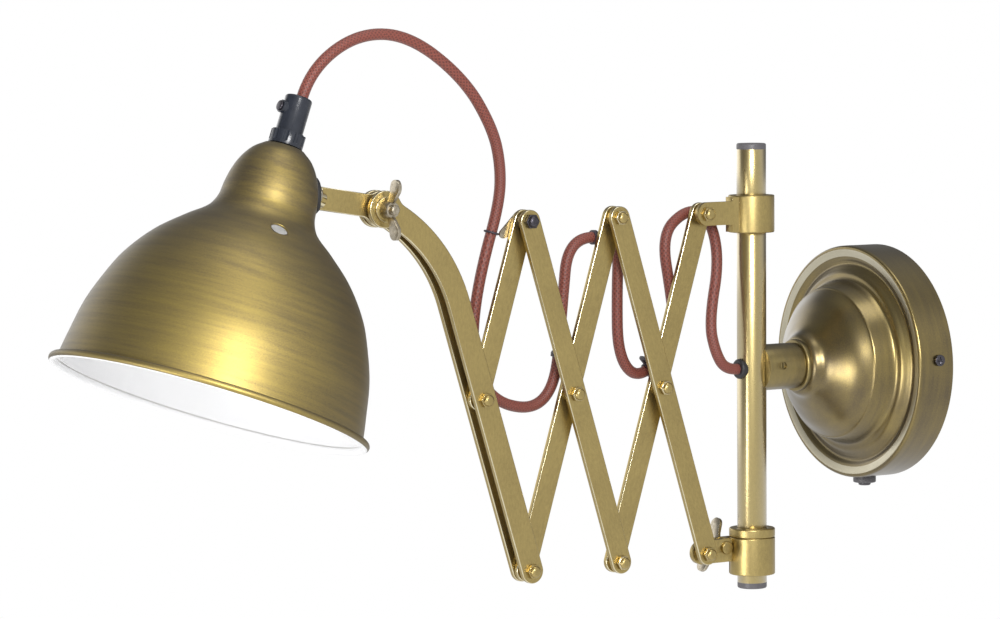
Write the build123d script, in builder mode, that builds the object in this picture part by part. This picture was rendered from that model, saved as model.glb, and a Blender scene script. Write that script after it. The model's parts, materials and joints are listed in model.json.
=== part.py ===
"""Accordion wall lamp: pole on a spun wall plate, scissor arm of flat bars, spun shade on a wing-nut knuckle.

Millimetres. The wall is the plane Y = 0, the arm reaches along -Y and +Z is up.
The scissor moves in planes of constant X; +X is the front side, which shows the dome nuts.
"""

from build123d import *
from math import atan2, cos, degrees, hypot, radians, sin, tan
import os

os.makedirs("parts", exist_ok=True)

# ---- Driving dimensions ----
AXIS_Z = -0.5  # height of the wall plate's and the stub's axis
POLE_Y = -88.0
POLE_R = 8.0
POLE_WALL = 1.5
POLE_TOP = 118.3
POLE_BOTTOM = -117.2
POLE_CAP_T = 3.2

BAR_W = 12.0
BAR_T = 3.0
BAR_EDGE = 0.6
BAR_REACH = 192.0  # between the two end pivots of a full bar
HALF_ANGLE = 17.2  # bar against the pole, as photographed
TOP_ROW_Z = 84.4
NEAR_COLUMN = 32.3  # pole axis to the collar pivots
ARM_W = 13.0
ARM_STRAIGHT = 53.0  # from the crossing pivot to the start of the curve
ARM_BEND_R = 82.0
ARM_BEND = 48.0
ARM_EYE_R = 9.6

LAYER_GAP = 3.2
MOVING_GAP = 0.3
RUN_FIT = 0.08
OPEN_FIT = 0.15

PIVOT_R = 2.0
HEAD_R = 4.0
HEAD_T = 2.6
NUT_FLATS = 7.0
NUT_HEX_T = 1.9
NUT_DOME_R = 3.1
SPACER_R = 4.6

CORD_R = 3.0
CORD_GRIP_SIDE = 1.6  # the cord leaves the grip on its wall side

RIM_R = 82.7
SHADE_H = 137.0  # mouth to the foot of the cord grip
SHADE_TILT = 21.0
SHADE_LEAN = 2.56
MOUTH_OUT = 103.95  # knuckle to the middle of the mouth
MOUTH_DROP = 94.51
STRAP_X = -1.65
STRAP_T = 3.0
NECK_STATION = 0.8628 * SHADE_H
NECK_R = 0.2751 * RIM_R
SHEET_T = 1.2
GRIP_FOOT = SHADE_H
GRIP_H = 26.0
GRIP_TOP = GRIP_FOOT + GRIP_H

# ---- Places worked out from them ----
FRONT_X = LAYER_GAP / 2
REAR_X = -LAYER_GAP / 2 - BAR_T
BACK_ARM_X = REAR_X - MOVING_GAP - BAR_T
COLUMN = BAR_REACH * sin(radians(HALF_ANGLE))
ROW_DROP = BAR_REACH * cos(radians(HALF_ANGLE))
MID_Z = TOP_ROW_Z - ROW_DROP / 2
LOW_Z = TOP_ROW_Z - ROW_DROP
Y3 = POLE_Y - NEAR_COLUMN
Y2 = Y3 - COLUMN
Y1 = Y2 - COLUMN
T3 = (Y3, TOP_ROW_Z)
T2 = (Y2, TOP_ROW_Z)
T1 = (Y1, TOP_ROW_Z)
D3 = (Y3, LOW_Z)
D2 = (Y2, LOW_Z)
D1 = (Y1, LOW_Z)
C3 = ((Y3 + Y2) / 2, MID_Z)
C2 = ((Y2 + Y1) / 2, MID_Z)
C1 = (Y1 - COLUMN / 2, MID_Z)

ALONG_ARM = (-sin(radians(HALF_ANGLE)), cos(radians(HALF_ANGLE)))
TO_SHADE = (-ALONG_ARM[1], ALONG_ARM[0])
BEND_START = (C1[0] + ARM_STRAIGHT * ALONG_ARM[0], C1[1] + ARM_STRAIGHT * ALONG_ARM[1])
BEND_CENTRE = (BEND_START[0] + ARM_BEND_R * TO_SHADE[0], BEND_START[1] + ARM_BEND_R * TO_SHADE[1])
END_ANGLE = HALF_ANGLE + ARM_BEND
KNUCKLE = (
    BEND_CENTRE[0] + ARM_BEND_R * cos(radians(END_ANGLE)),
    BEND_CENTRE[1] + ARM_BEND_R * sin(radians(END_ANGLE)),
)

TILT = radians(SHADE_TILT)
LEAN = radians(SHADE_LEAN)
SHADE_AXIS = Vector(-sin(LEAN), sin(TILT) * cos(LEAN), cos(TILT) * cos(LEAN))
SHADE_ACROSS = Vector(cos(LEAN), sin(LEAN) * sin(TILT), sin(LEAN) * cos(TILT))
MOUTH = Vector(STRAP_X + NECK_STATION * sin(LEAN), KNUCKLE[0] - MOUTH_OUT, KNUCKLE[1] - MOUTH_DROP)
SHADE = Plane(origin=MOUTH, x_dir=SHADE_ACROSS, z_dir=SHADE_AXIS)
SHADE_SECTION = Plane(origin=MOUTH, x_dir=SHADE.y_dir, z_dir=SHADE.x_dir)
SHADE_SPIN = Axis(MOUTH, SHADE_AXIS)

PLATE_SECTION = Plane(origin=(0, 0, AXIS_Z), x_dir=(0, 0, 1), z_dir=(1, 0, 0))
PLATE_SPIN = Axis((0, 0, AXIS_Z), (0, -1, 0))
POLE_PLANE = Plane(origin=(0, POLE_Y, 0), x_dir=(1, 0, 0), z_dir=(0, 0, 1))


def save(part, label):
    """Labels a finished piece and writes its STEP file."""
    part.label = label
    export_step(part, f"parts/{label}.step")


def facing(normal, origin, across=None):
    """The plane at a point whose Z runs along the normal."""
    return Plane(origin=origin, x_dir=across, z_dir=normal)


def on_layer(x):
    """The scissor's drawing plane (local X is Y, local Y is Z) at one depth."""
    return Plane.YZ.offset(x)


# ---- Wall plate and what hides behind it ----
PLATE_R = 64.0
RIM_DEPTH = 22.5
RIM_ROUND = 1.4
NOSE_R = 15.0
NOSE_DEPTH = 57.0
DOME_RISE = NOSE_DEPTH - RIM_DEPTH


def plate_point(share_out, share_up):
    """A point of the plate's section: share of its radius, and of the rise from rim to nose."""
    return (PLATE_R * share_out, RIM_DEPTH + DOME_RISE * share_up)


VALLEY = plate_point(0.8563, -0.084)
CREST = plate_point(0.7656, 0.0319)
STEP_FOOT = plate_point(0.7063, 0.0783)
STEP_TOP = plate_point(0.65, 0.3565)
DOME_EDGE = plate_point(0.6344, 0.3855)
DOME_POINTS = [plate_point(0.5313, 0.5739), plate_point(0.4063, 0.7275), plate_point(0.2969, 0.8551)]
HOLLOW_DROP = 2.2  # outside to inside of the sheet, along the plate's axis
FACE_LAP = 1.0  # how far a cut starts outside its piece
STUB_R = 12.5
STUB_NEAR = POLE_Y + 3.5
NOSE_RING_T = 3.0
STUB_FAR = -(NOSE_DEPTH + NOSE_RING_T)
STUB_SPIGOT = 14.0
CORD_WAY = 2.0  # round the cord inside the stub
SET_SCREW_Y = POLE_Y + 12.5
SET_SCREW_UP = 1.5
SET_SCREW_R = 2.0
SET_SCREW_SUNK = 0.9
SLOT_W = 0.7
SLOT_L = 3.2
SLOT_DEPTH = 1.5
LOCK_NUT_R = 11.0
LOCK_NUT_T = 4.0
RING_R = 14.2
RING_ROUND = 0.8
NIPPLE_R = 8.0
SIDE_SCREW_Z = 4.0
SIDE_SCREW_Y = -10.0
SIDE_SHANK_R = 1.75
SIDE_HOLE_R = 2.08
SIDE_HEAD_R = 3.1
SIDE_HEAD_T = 1.5
SIDE_TIP = 3.0  # shank past the bracket's ear
HEAD_STAND = 0.2
CROSS_W = 0.8
CROSS_L = 3.8
CROSS_DEPTH = 0.9
BRACKET_T = 2.0
BRACKET_W = 22.0
EAR_DEPTH = 16.0
EAR_CLEAR = 1.8
WALL_SCREW_PITCH = 60.0
WALL_SCREW_R = 2.3
BLOCK_X = 12.0
BLOCK_L = 24.0
BLOCK_W = 16.0
BLOCK_H = 13.0
CLAMP_HOLE_R = 1.9
CLAMP_HOLE_DEPTH = 5.0
SWITCH_Y = -10.4
BEZEL_R = 6.3
BEZEL_PROUD = 3.6
BARREL_R = 5.0
BARREL_H = 20.0
SWITCH_NUT_R = 5.8
SWITCH_NUT_T = 2.0
SWITCH_NUT_UP = 2.8
BUTTON_R = 3.4
BUTTON_WELL = 6.0
BUTTON_PROUD = 1.6
BUTTON_UP = 4.2
THROUGH_SHEET = 8.0

with BuildPart() as wall_plate:
    with BuildSketch(PLATE_SECTION):
        with BuildLine():
            rim = Line((PLATE_R, 0), (PLATE_R, RIM_DEPTH - RIM_ROUND))
            corner = JernArc(rim @ 1, rim % 1, RIM_ROUND, 110)
            dish = Spline(corner @ 1, VALLEY, CREST, STEP_FOOT, STEP_TOP, tangents=[corner % 1, (-1, 4)])
            ledge = Line(STEP_TOP, DOME_EDGE)
            dome = Spline(DOME_EDGE, *DOME_POINTS, (NOSE_R, NOSE_DEPTH), tangents=[(-2, 2.6), (-1, 2.2)])
            Polyline((NOSE_R, NOSE_DEPTH), (0, NOSE_DEPTH), (0, 0), (PLATE_R, 0))
        make_face()
    revolve(axis=PLATE_SPIN)
    with BuildSketch(PLATE_SECTION):
        with BuildLine():
            inner_r = PLATE_R - SHEET_T
            inner_rim = Line((inner_r, -FACE_LAP), (inner_r, RIM_DEPTH - HOLLOW_DROP - RIM_ROUND))
            inner_dish = Spline(
                inner_rim @ 1,
                (VALLEY[0], VALLEY[1] - HOLLOW_DROP),
                (CREST[0], CREST[1] - HOLLOW_DROP),
                (STEP_FOOT[0] - SHEET_T, STEP_FOOT[1] - HOLLOW_DROP),
                (STEP_TOP[0] - SHEET_T, STEP_TOP[1] - HOLLOW_DROP),
            )
            inner_dome = Spline(
                inner_dish @ 1,
                *[(r, h - HOLLOW_DROP) for r, h in DOME_POINTS],
                (NOSE_R - SHEET_T, NOSE_DEPTH - HOLLOW_DROP),
            )
            Polyline(inner_dome @ 1, (0, NOSE_DEPTH - HOLLOW_DROP), (0, -FACE_LAP), (inner_r, -FACE_LAP))
        make_face()
    revolve(axis=PLATE_SPIN, mode=Mode.SUBTRACT)
    with BuildSketch(facing((0, -1, 0), (0, 0, AXIS_Z))):
        Circle(NIPPLE_R + RUN_FIT)
    extrude(amount=NOSE_DEPTH + FACE_LAP, mode=Mode.SUBTRACT)
    for side in (1, -1):
        with BuildSketch(facing((side, 0, 0), (side * (PLATE_R - THROUGH_SHEET / 2), SIDE_SCREW_Y, SIDE_SCREW_Z))):
            Circle(SIDE_HOLE_R)
        extrude(amount=THROUGH_SHEET, mode=Mode.SUBTRACT)
    with BuildSketch(facing((0, 0, -1), (0, SWITCH_Y, AXIS_Z - PLATE_R + THROUGH_SHEET / 2))):
        Circle(BARREL_R + RUN_FIT)
    extrude(amount=THROUGH_SHEET, mode=Mode.SUBTRACT)
save(wall_plate.part, "wall_plate")

EAR_X = PLATE_R - SHEET_T - EAR_CLEAR  # outside of the bracket's ears
EAR_INSIDE = EAR_X - BRACKET_T

with BuildPart() as wall_bracket:
    with BuildSketch(facing((0, -1, 0), (0, 0, 0), (1, 0, 0))):
        Rectangle(2 * EAR_X, BRACKET_W)
        with Locations((WALL_SCREW_PITCH / 2, 0), (-WALL_SCREW_PITCH / 2, 0)):
            Circle(WALL_SCREW_R, mode=Mode.SUBTRACT)
    extrude(amount=BRACKET_T)
    for side in (1, -1):
        with BuildSketch(facing((side, 0, 0), (side * EAR_INSIDE, -EAR_DEPTH / 2, 0), (0, 1, 0))):
            Rectangle(EAR_DEPTH, BRACKET_W)
        extrude(amount=BRACKET_T)
        with BuildSketch(facing((side, 0, 0), (side * EAR_INSIDE, SIDE_SCREW_Y, SIDE_SCREW_Z))):
            Circle(SIDE_SHANK_R)
        extrude(amount=BRACKET_T, mode=Mode.SUBTRACT)
save(wall_bracket.part, "wall_bracket")

with BuildPart() as plate_side_screws:
    head_foot = PLATE_R + HEAD_STAND
    for side in (1, -1):
        with BuildSketch(facing((side, 0, 0), (side * (EAR_INSIDE - SIDE_TIP), SIDE_SCREW_Y, SIDE_SCREW_Z))):
            Circle(SIDE_SHANK_R)
        extrude(amount=head_foot - EAR_INSIDE + SIDE_TIP)
        with BuildSketch(facing((side, 0, 0), (side * head_foot, SIDE_SCREW_Y, SIDE_SCREW_Z))):
            Circle(SIDE_HEAD_R)
        extrude(amount=SIDE_HEAD_T)
        cross_foot = head_foot + SIDE_HEAD_T - CROSS_DEPTH
        with BuildSketch(facing((side, 0, 0), (side * cross_foot, SIDE_SCREW_Y, SIDE_SCREW_Z))):
            Rectangle(CROSS_L, CROSS_W)
            Rectangle(CROSS_W, CROSS_L)
        extrude(amount=CROSS_DEPTH + FACE_LAP, mode=Mode.SUBTRACT)
save(plate_side_screws.part, "plate_side_screws")

with BuildPart() as terminal_block:
    with BuildSketch(facing((0, -1, 0), (BLOCK_X + BLOCK_L / 2, -BRACKET_T, AXIS_Z), (1, 0, 0))):
        Rectangle(BLOCK_L, BLOCK_W)
    extrude(amount=BLOCK_H)
    with Locations(facing((0, -1, 0), (BLOCK_X + BLOCK_L / 2, -BRACKET_T - BLOCK_H, AXIS_Z), (1, 0, 0))):
        with GridLocations(BLOCK_L / 3, BLOCK_W / 2 + FACE_LAP, 3, 2):
            Hole(CLAMP_HOLE_R, depth=CLAMP_HOLE_DEPTH)
    fillet(terminal_block.edges().filter_by(Axis.Y).group_by(Axis.X)[-1], 1.0)
save(terminal_block.part, "terminal_block")

with BuildPart() as stub_tube:
    with BuildSketch(facing((0, 1, 0), (0, STUB_NEAR, AXIS_Z))):
        Circle(STUB_R)
    extrude(amount=STUB_FAR - STUB_NEAR)
    fillet(stub_tube.faces().sort_by(Axis.Y)[-1].edges(), 0.5)
    with BuildSketch(facing((0, 1, 0), (0, STUB_FAR, AXIS_Z))):
        Circle(NIPPLE_R)
    extrude(amount=STUB_SPIGOT)
    with BuildSketch(facing((0, 1, 0), (0, STUB_NEAR, AXIS_Z))):
        Circle(CORD_R + CORD_WAY)
    extrude(amount=STUB_FAR - STUB_NEAR + STUB_SPIGOT, mode=Mode.SUBTRACT)
    with BuildSketch(POLE_PLANE):
        Circle(POLE_R)
    extrude(amount=3 * STUB_R, both=True, mode=Mode.SUBTRACT)
    with BuildSketch(facing((1, 0, 0), (NIPPLE_R, SET_SCREW_Y, AXIS_Z + SET_SCREW_UP))):
        Circle(SET_SCREW_R + RUN_FIT)
    extrude(amount=STUB_R, mode=Mode.SUBTRACT)
save(stub_tube.part, "stub_tube")

with BuildPart() as stub_set_screw:
    with BuildSketch(facing((1, 0, 0), (NIPPLE_R, SET_SCREW_Y, AXIS_Z + SET_SCREW_UP))):
        Circle(SET_SCREW_R)
    extrude(amount=STUB_R - NIPPLE_R - SET_SCREW_SUNK)
    slot_foot = STUB_R - SET_SCREW_SUNK - SLOT_DEPTH
    with BuildSketch(facing((1, 0, 0), (slot_foot, SET_SCREW_Y, AXIS_Z + SET_SCREW_UP))):
        Rectangle(SLOT_L, SLOT_W)
    extrude(amount=SLOT_DEPTH + FACE_LAP, mode=Mode.SUBTRACT)
save(stub_set_screw.part, "stub_set_screw")

with BuildPart() as nose_ring:
    with BuildSketch(PLATE_SECTION):
        with BuildLine():
            Polyline((NIPPLE_R + RUN_FIT, NOSE_DEPTH), (RING_R, NOSE_DEPTH), (RING_R, -STUB_FAR - RING_ROUND))
            JernArc((RING_R, -STUB_FAR - RING_ROUND), (0, 1), RING_ROUND, 90)
            ring_top = (NIPPLE_R + RUN_FIT, -STUB_FAR)
            Polyline((RING_R - RING_ROUND, -STUB_FAR), ring_top, (NIPPLE_R + RUN_FIT, NOSE_DEPTH))
        make_face()
    revolve(axis=PLATE_SPIN)
save(nose_ring.part, "nose_ring")

with BuildPart() as stub_lock_nut:
    with BuildSketch(facing((0, 1, 0), (0, -NOSE_DEPTH + HOLLOW_DROP, AXIS_Z))):
        RegularPolygon(LOCK_NUT_R, 6, major_radius=False)
        Circle(NIPPLE_R, mode=Mode.SUBTRACT)
    extrude(amount=LOCK_NUT_T)
save(stub_lock_nut.part, "stub_lock_nut")

SWITCH_FOOT = AXIS_Z - PLATE_R

with BuildPart() as switch_body:
    with BuildSketch(facing((0, 0, -1), (0, SWITCH_Y, SWITCH_FOOT + FACE_LAP))):
        Circle(BEZEL_R)
    extrude(amount=FACE_LAP + BEZEL_PROUD)
    fillet(switch_body.faces().sort_by(Axis.Z)[0].edges(), 0.7)
    with BuildSketch(facing((0, 1, 0), (0, -RIM_DEPTH - FACE_LAP, AXIS_Z))):
        Circle(PLATE_R)
    extrude(amount=RIM_DEPTH + 2 * FACE_LAP, mode=Mode.SUBTRACT)
    with BuildSketch(facing((0, 0, -1), (0, SWITCH_Y, SWITCH_FOOT + BARREL_H))):
        Circle(BARREL_R)
    extrude(amount=BARREL_H + BEZEL_PROUD / 2)
    with BuildSketch(facing((0, 0, -1), (0, SWITCH_Y, SWITCH_FOOT + BUTTON_WELL))):
        Circle(BUTTON_R + RUN_FIT)
    extrude(amount=2 * BUTTON_WELL, mode=Mode.SUBTRACT)
save(switch_body.part, "switch_body")

with BuildPart() as switch_nut:
    with BuildSketch(facing((0, 0, 1), (0, SWITCH_Y, SWITCH_FOOT + SWITCH_NUT_UP))):
        RegularPolygon(SWITCH_NUT_R, 6, major_radius=False)
        Circle(BARREL_R, mode=Mode.SUBTRACT)
    extrude(amount=SWITCH_NUT_T)
save(switch_nut.part, "switch_nut")

with BuildPart() as switch_button:
    with BuildSketch(facing((0, 0, -1), (0, SWITCH_Y, SWITCH_FOOT + BUTTON_UP))):
        Circle(BUTTON_R)
    extrude(amount=BUTTON_UP + BEZEL_PROUD + BUTTON_PROUD)
    fillet(switch_button.faces().sort_by(Axis.Z)[0].edges(), 0.8)
save(switch_button.part, "switch_button")

# ---- Pole ----
COLLAR_Z = (73.4, 93.6)
GROOVE_Z = sum(COLLAR_Z) / 2
GROOVE_T = 4.4
GROOVE_DEPTH = 0.7
GROMMET_R = 5.4
GROMMET_PROUD = 1.6
GROMMET_L = 3.4
GROMMET_WALL = 1.1
CAP_PLUG = 7.0

with BuildPart() as pole:
    with BuildSketch(POLE_PLANE.offset(POLE_BOTTOM)):
        Circle(POLE_R)
        Circle(POLE_R - POLE_WALL, mode=Mode.SUBTRACT)
    extrude(amount=POLE_TOP - POLE_BOTTOM)
    with BuildSketch(facing((0, 1, 0), (0, POLE_Y - 2 * POLE_R, AXIS_Z))):
        Circle(CORD_R + GROMMET_WALL)
    extrude(amount=4 * POLE_R, mode=Mode.SUBTRACT)
    with BuildSketch(POLE_PLANE.offset(GROOVE_Z - GROOVE_T / 2)):
        Circle(POLE_R + 1)
        Circle(POLE_R - GROOVE_DEPTH, mode=Mode.SUBTRACT)
    extrude(amount=GROOVE_T, mode=Mode.SUBTRACT)
save(pole.part, "pole")

with BuildPart() as pole_caps:
    for end_z, out in ((POLE_TOP, 1), (POLE_BOTTOM, -1)):
        cap_plane = facing((0, 0, out), (0, POLE_Y, end_z))
        with BuildSketch(cap_plane):
            Circle(POLE_R)
        extrude(amount=POLE_CAP_T)
        with BuildSketch(cap_plane.offset(-CAP_PLUG)):
            Circle(POLE_R - POLE_WALL)
        extrude(amount=CAP_PLUG)
    fillet(pole_caps.faces().sort_by(Axis.Z)[-1].edges(), 1.0)
    fillet(pole_caps.faces().sort_by(Axis.Z)[0].edges(), 1.0)
save(pole_caps.part, "pole_caps")

with BuildPart() as pole_grommet:
    with BuildSketch(facing((0, 1, 0), (0, POLE_Y - POLE_R - GROMMET_PROUD, AXIS_Z))):
        Circle(GROMMET_R)
    extrude(amount=GROMMET_L)
    fillet(pole_grommet.faces().sort_by(Axis.Y)[0].edges(), 1.2)
    with BuildSketch(POLE_PLANE):
        Circle(POLE_R)
    extrude(amount=3 * GROMMET_R, both=True, mode=Mode.SUBTRACT)
    with BuildSketch(facing((0, 1, 0), (0, POLE_Y - POLE_R - GROMMET_PROUD / 2, AXIS_Z))):
        Circle(CORD_R + GROMMET_WALL)
    extrude(amount=GROMMET_L)
    with BuildSketch(facing((0, 1, 0), (0, POLE_Y - POLE_R - 2 * GROMMET_PROUD, AXIS_Z))):
        Circle(CORD_R)
    extrude(amount=3 * GROMMET_L, mode=Mode.SUBTRACT)
save(pole_grommet.part, "pole_grommet")

# ---- Collars ----
COLLAR_R = 12.5
BAND_Z = (-112.7, -92.3)
LIP_Z = (-92.3, -87.4)
INNER_SLEEVE_R = 10.0
CLAMP_AT = (-104.0, -97.5)
CLAMP_R = 2.0
BACK_EAR_X = -9.2
BACK_EAR_T = 2.4


def ear_plate(at, x, thickness, reach_y):
    """A rounded ear from its pivot to the collar, across one layer."""
    with BuildPart() as ear:
        with BuildSketch(on_layer(x)):
            with Locations(at):
                Circle(BAR_W / 2 + 0.25)
            with Locations(((at[0] + reach_y) / 2, at[1])):
                Rectangle(reach_y - at[0], BAR_W + 0.5)
        extrude(amount=thickness)
    return ear.part


def pole_space(radius):
    """The round space that a collar leaves for the pole."""
    with BuildPart() as space:
        with BuildSketch(POLE_PLANE):
            Circle(radius)
        extrude(amount=130, both=True)
    return space.part


with BuildPart() as upper_collar:
    with BuildSketch(POLE_PLANE.offset(COLLAR_Z[0])):
        Circle(COLLAR_R)
    extrude(amount=COLLAR_Z[1] - COLLAR_Z[0])
    fillet(upper_collar.edges().filter_by(GeomType.CIRCLE), 0.7)
    add(ear_plate(T3, FRONT_X, BAR_T, POLE_Y - 9))
    with BuildSketch(on_layer(-1.5)):
        with Locations(((POLE_Y - 10.0 + POLE_Y - 16.0) / 2, GROOVE_Z)):
            Rectangle(6.0, COLLAR_Z[1] - COLLAR_Z[0] - 1.4)
    extrude(amount=BAR_T + FRONT_X + 1.5)
    add(pole_space(POLE_R + RUN_FIT), mode=Mode.SUBTRACT)
    with BuildSketch(on_layer(FRONT_X)):
        with Locations(T3):
            Circle(PIVOT_R)
    extrude(amount=BAR_T, mode=Mode.SUBTRACT)
    with BuildSketch(facing((0, 1, 0), (0, POLE_Y, GROOVE_Z))):
        Circle(2.0)
    extrude(amount=20, mode=Mode.SUBTRACT)
save(upper_collar.part, "upper_collar")

with BuildPart() as collar_dog_screw:
    dog_tip = POLE_R - GROOVE_DEPTH + MOVING_GAP
    with BuildSketch(facing((0, 1, 0), (0, POLE_Y + dog_tip, GROOVE_Z))):
        Circle(2.0)
    extrude(amount=COLLAR_R + 0.8 - dog_tip)
    with BuildSketch(facing((0, 1, 0), (0, POLE_Y + COLLAR_R - 0.4, GROOVE_Z))):
        Rectangle(3.2, 0.7)
    extrude(amount=3, mode=Mode.SUBTRACT)
save(collar_dog_screw.part, "collar_dog_screw")

with BuildPart() as lower_sleeve:
    with BuildSketch(POLE_PLANE.offset(BAND_Z[0])):
        Circle(INNER_SLEEVE_R)
    extrude(amount=LIP_Z[1] - BAND_Z[0])
    with BuildSketch(POLE_PLANE.offset(LIP_Z[0])):
        Circle(COLLAR_R)
    extrude(amount=LIP_Z[1] - LIP_Z[0])
    fillet(lower_sleeve.edges().filter_by(GeomType.CIRCLE).filter_by(lambda e: e.radius > 12), 0.8)
    add(pole_space(POLE_R + RUN_FIT), mode=Mode.SUBTRACT)
save(lower_sleeve.part, "lower_sleeve")

with BuildPart() as lower_clamp:
    with BuildSketch(POLE_PLANE.offset(BAND_Z[0])):
        Circle(COLLAR_R)
    extrude(amount=BAND_Z[1] - BAND_Z[0])
    fillet(lower_clamp.edges().filter_by(GeomType.CIRCLE), 0.7)
    add(ear_plate(D3, REAR_X, BAR_T, POLE_Y - 9))
    with BuildSketch(on_layer(REAR_X)):
        with Locations(CLAMP_AT):
            Circle(5.6)
    extrude(amount=BAR_T)
    with BuildSketch(on_layer(BACK_EAR_X)):
        with Locations(CLAMP_AT):
            Circle(5.6)
        with Locations(((CLAMP_AT[0] + POLE_Y - 6) / 2, CLAMP_AT[1])):
            Rectangle(POLE_Y - 6 - CLAMP_AT[0], 11.2)
    extrude(amount=BACK_EAR_T)
    add(pole_space(INNER_SLEEVE_R), mode=Mode.SUBTRACT)
    split_top = BACK_EAR_X + BACK_EAR_T
    with BuildSketch(on_layer(split_top)):
        with Locations((POLE_Y - 14, LOW_Z)):
            Rectangle(24, 40)
    extrude(amount=REAR_X - split_top, mode=Mode.SUBTRACT)
    with BuildSketch(on_layer(BACK_EAR_X)):
        with Locations(CLAMP_AT):
            Circle(CLAMP_R)
    extrude(amount=20, mode=Mode.SUBTRACT)
    with BuildSketch(on_layer(REAR_X)):
        with Locations(D3):
            Circle(PIVOT_R)
    extrude(amount=BAR_T, mode=Mode.SUBTRACT)
    with BuildSketch(POLE_PLANE.offset(BAND_Z[1])):
        Circle(COLLAR_R + 30)
    extrude(amount=2.5, mode=Mode.SUBTRACT)
save(lower_clamp.part, "lower_clamp")

WING_HUB_R = 3.9
WING_HUB_T = 5.2
WING_T = 1.9
WING_GAP = 0.4


def wing_nut(seat, bore):
    """A wing nut standing on its seat plane, with its wings along the plane's X."""
    wings = Plane(origin=seat.origin, x_dir=seat.x_dir, z_dir=seat.x_dir.cross(seat.z_dir))
    with BuildPart() as nut:
        with BuildSketch(seat):
            Circle(WING_HUB_R + 0.7)
        extrude(amount=WING_HUB_T, taper=8)
        for way in (1, -1):
            with BuildSketch(wings):
                with Locations((way * 3.0, 2.2)):
                    Circle(1.7)
                with Locations((way * 6.5, 5.0)):
                    Circle(2.6)
                make_hull()
            extrude(amount=WING_T / 2, both=True)
            with BuildSketch(wings):
                with Locations((way * 6.5, 5.0)):
                    Circle(2.6)
                with Locations((way * 11.3, 7.6)):
                    Circle(4.1)
                make_hull()
            extrude(amount=WING_T / 2, both=True)
        with BuildSketch(seat.offset(-1)):
            Circle(bore)
        extrude(amount=WING_HUB_T + 12, mode=Mode.SUBTRACT)
    return nut.part


CLAMP_WING_SEAT = facing((-1, 0, 0), (BACK_EAR_X - WING_GAP, *CLAMP_AT), (0, 0.42, 1))
save(wing_nut(CLAMP_WING_SEAT, CLAMP_R + RUN_FIT), "clamp_wing_nut")

with BuildPart() as clamp_screw:
    with BuildSketch(on_layer(REAR_X + BAR_T)):
        with Locations(CLAMP_AT):
            Circle(3.4)
    extrude(amount=1.6)
    fillet(clamp_screw.faces().sort_by(Axis.X)[-1].edges(), 0.7)
    with BuildSketch(on_layer(BACK_EAR_X - 8.5)):
        with Locations(CLAMP_AT):
            Circle(CLAMP_R)
    extrude(amount=REAR_X + BAR_T - BACK_EAR_X + 8.5)
save(clamp_screw.part, "clamp_screw")


# ---- Scissor bars ----
def flat_bar(start, end, x, holes):
    """A flat bar with round ends between two pivots, each hole with its own clearance."""
    middle = ((start[0] + end[0]) / 2, (start[1] + end[1]) / 2)
    reach = hypot(end[0] - start[0], end[1] - start[1])
    slope = degrees(atan2(end[1] - start[1], end[0] - start[0]))
    with BuildPart() as bar:
        with BuildSketch(on_layer(x)):
            with Locations(middle):
                SlotCenterToCenter(reach, BAR_W, rotation=slope)
        extrude(amount=BAR_T)
        fillet(bar.faces().filter_by(Axis.X).edges(), BAR_EDGE)
        with BuildSketch(on_layer(x)):
            for at, clearance in holes:
                with Locations(at):
                    Circle(PIVOT_R + clearance)
        extrude(amount=BAR_T, mode=Mode.SUBTRACT)
    return bar.part


save(flat_bar(T3, D2, REAR_X, [(T3, RUN_FIT), (C3, 0), (D2, 0)]), "bar_b1")
save(flat_bar(T2, D3, FRONT_X, [(T2, 0), (C3, RUN_FIT), (D3, RUN_FIT)]), "bar_f1")
save(flat_bar(T2, D1, REAR_X, [(T2, RUN_FIT), (C2, 0), (D1, OPEN_FIT)]), "bar_b2")
save(flat_bar(T1, D2, FRONT_X, [(T1, RUN_FIT), (C2, RUN_FIT), (D2, OPEN_FIT)]), "bar_f2")
save(flat_bar(T1, C1, REAR_X, [(T1, 0), (C1, RUN_FIT)]), "bar_b3")


KNUCKLE_BOLT_R = 2.5


def curved_bar(x):
    """One of the two long bars that curve over towards the shade."""
    half = ARM_W / 2
    outer_foot = (D1[0] - half * TO_SHADE[0], D1[1] - half * TO_SHADE[1])
    inner_foot = (D1[0] + half * TO_SHADE[0], D1[1] + half * TO_SHADE[1])
    outer_bend = (BEND_START[0] - half * TO_SHADE[0], BEND_START[1] - half * TO_SHADE[1])
    inner_bend = (BEND_START[0] + half * TO_SHADE[0], BEND_START[1] + half * TO_SHADE[1])
    toe = (D1[0] - half * ALONG_ARM[0], D1[1] - half * ALONG_ARM[1])
    with BuildPart() as bar:
        with BuildSketch(on_layer(x)) as outline:
            with BuildLine():
                Line(outer_foot, outer_bend)
                outer_arc = JernArc(outer_bend, ALONG_ARM, ARM_BEND_R + half, ARM_BEND)
                inner_arc = JernArc(inner_bend, ALONG_ARM, ARM_BEND_R - half, ARM_BEND)
                Line(outer_arc @ 1, inner_arc @ 1)
                Line(inner_bend, inner_foot)
                ThreePointArc(inner_foot, toe, outer_foot)
            make_face()
            with Locations(KNUCKLE):
                Circle(ARM_EYE_R)
            roots = outline.vertices().filter_by(
                lambda v: abs(hypot(v.X - KNUCKLE[0], v.Y - KNUCKLE[1]) - ARM_EYE_R) < 0.01
            )
            fillet(roots, 7.0)
        extrude(amount=BAR_T)
        fillet(bar.faces().filter_by(Axis.X).edges(), BAR_EDGE)
        with BuildSketch(on_layer(x)):
            with Locations(C1, D1):
                Circle(PIVOT_R)
            with Locations(KNUCKLE):
                Circle(KNUCKLE_BOLT_R)
        extrude(amount=BAR_T, mode=Mode.SUBTRACT)
    return bar.part


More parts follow.
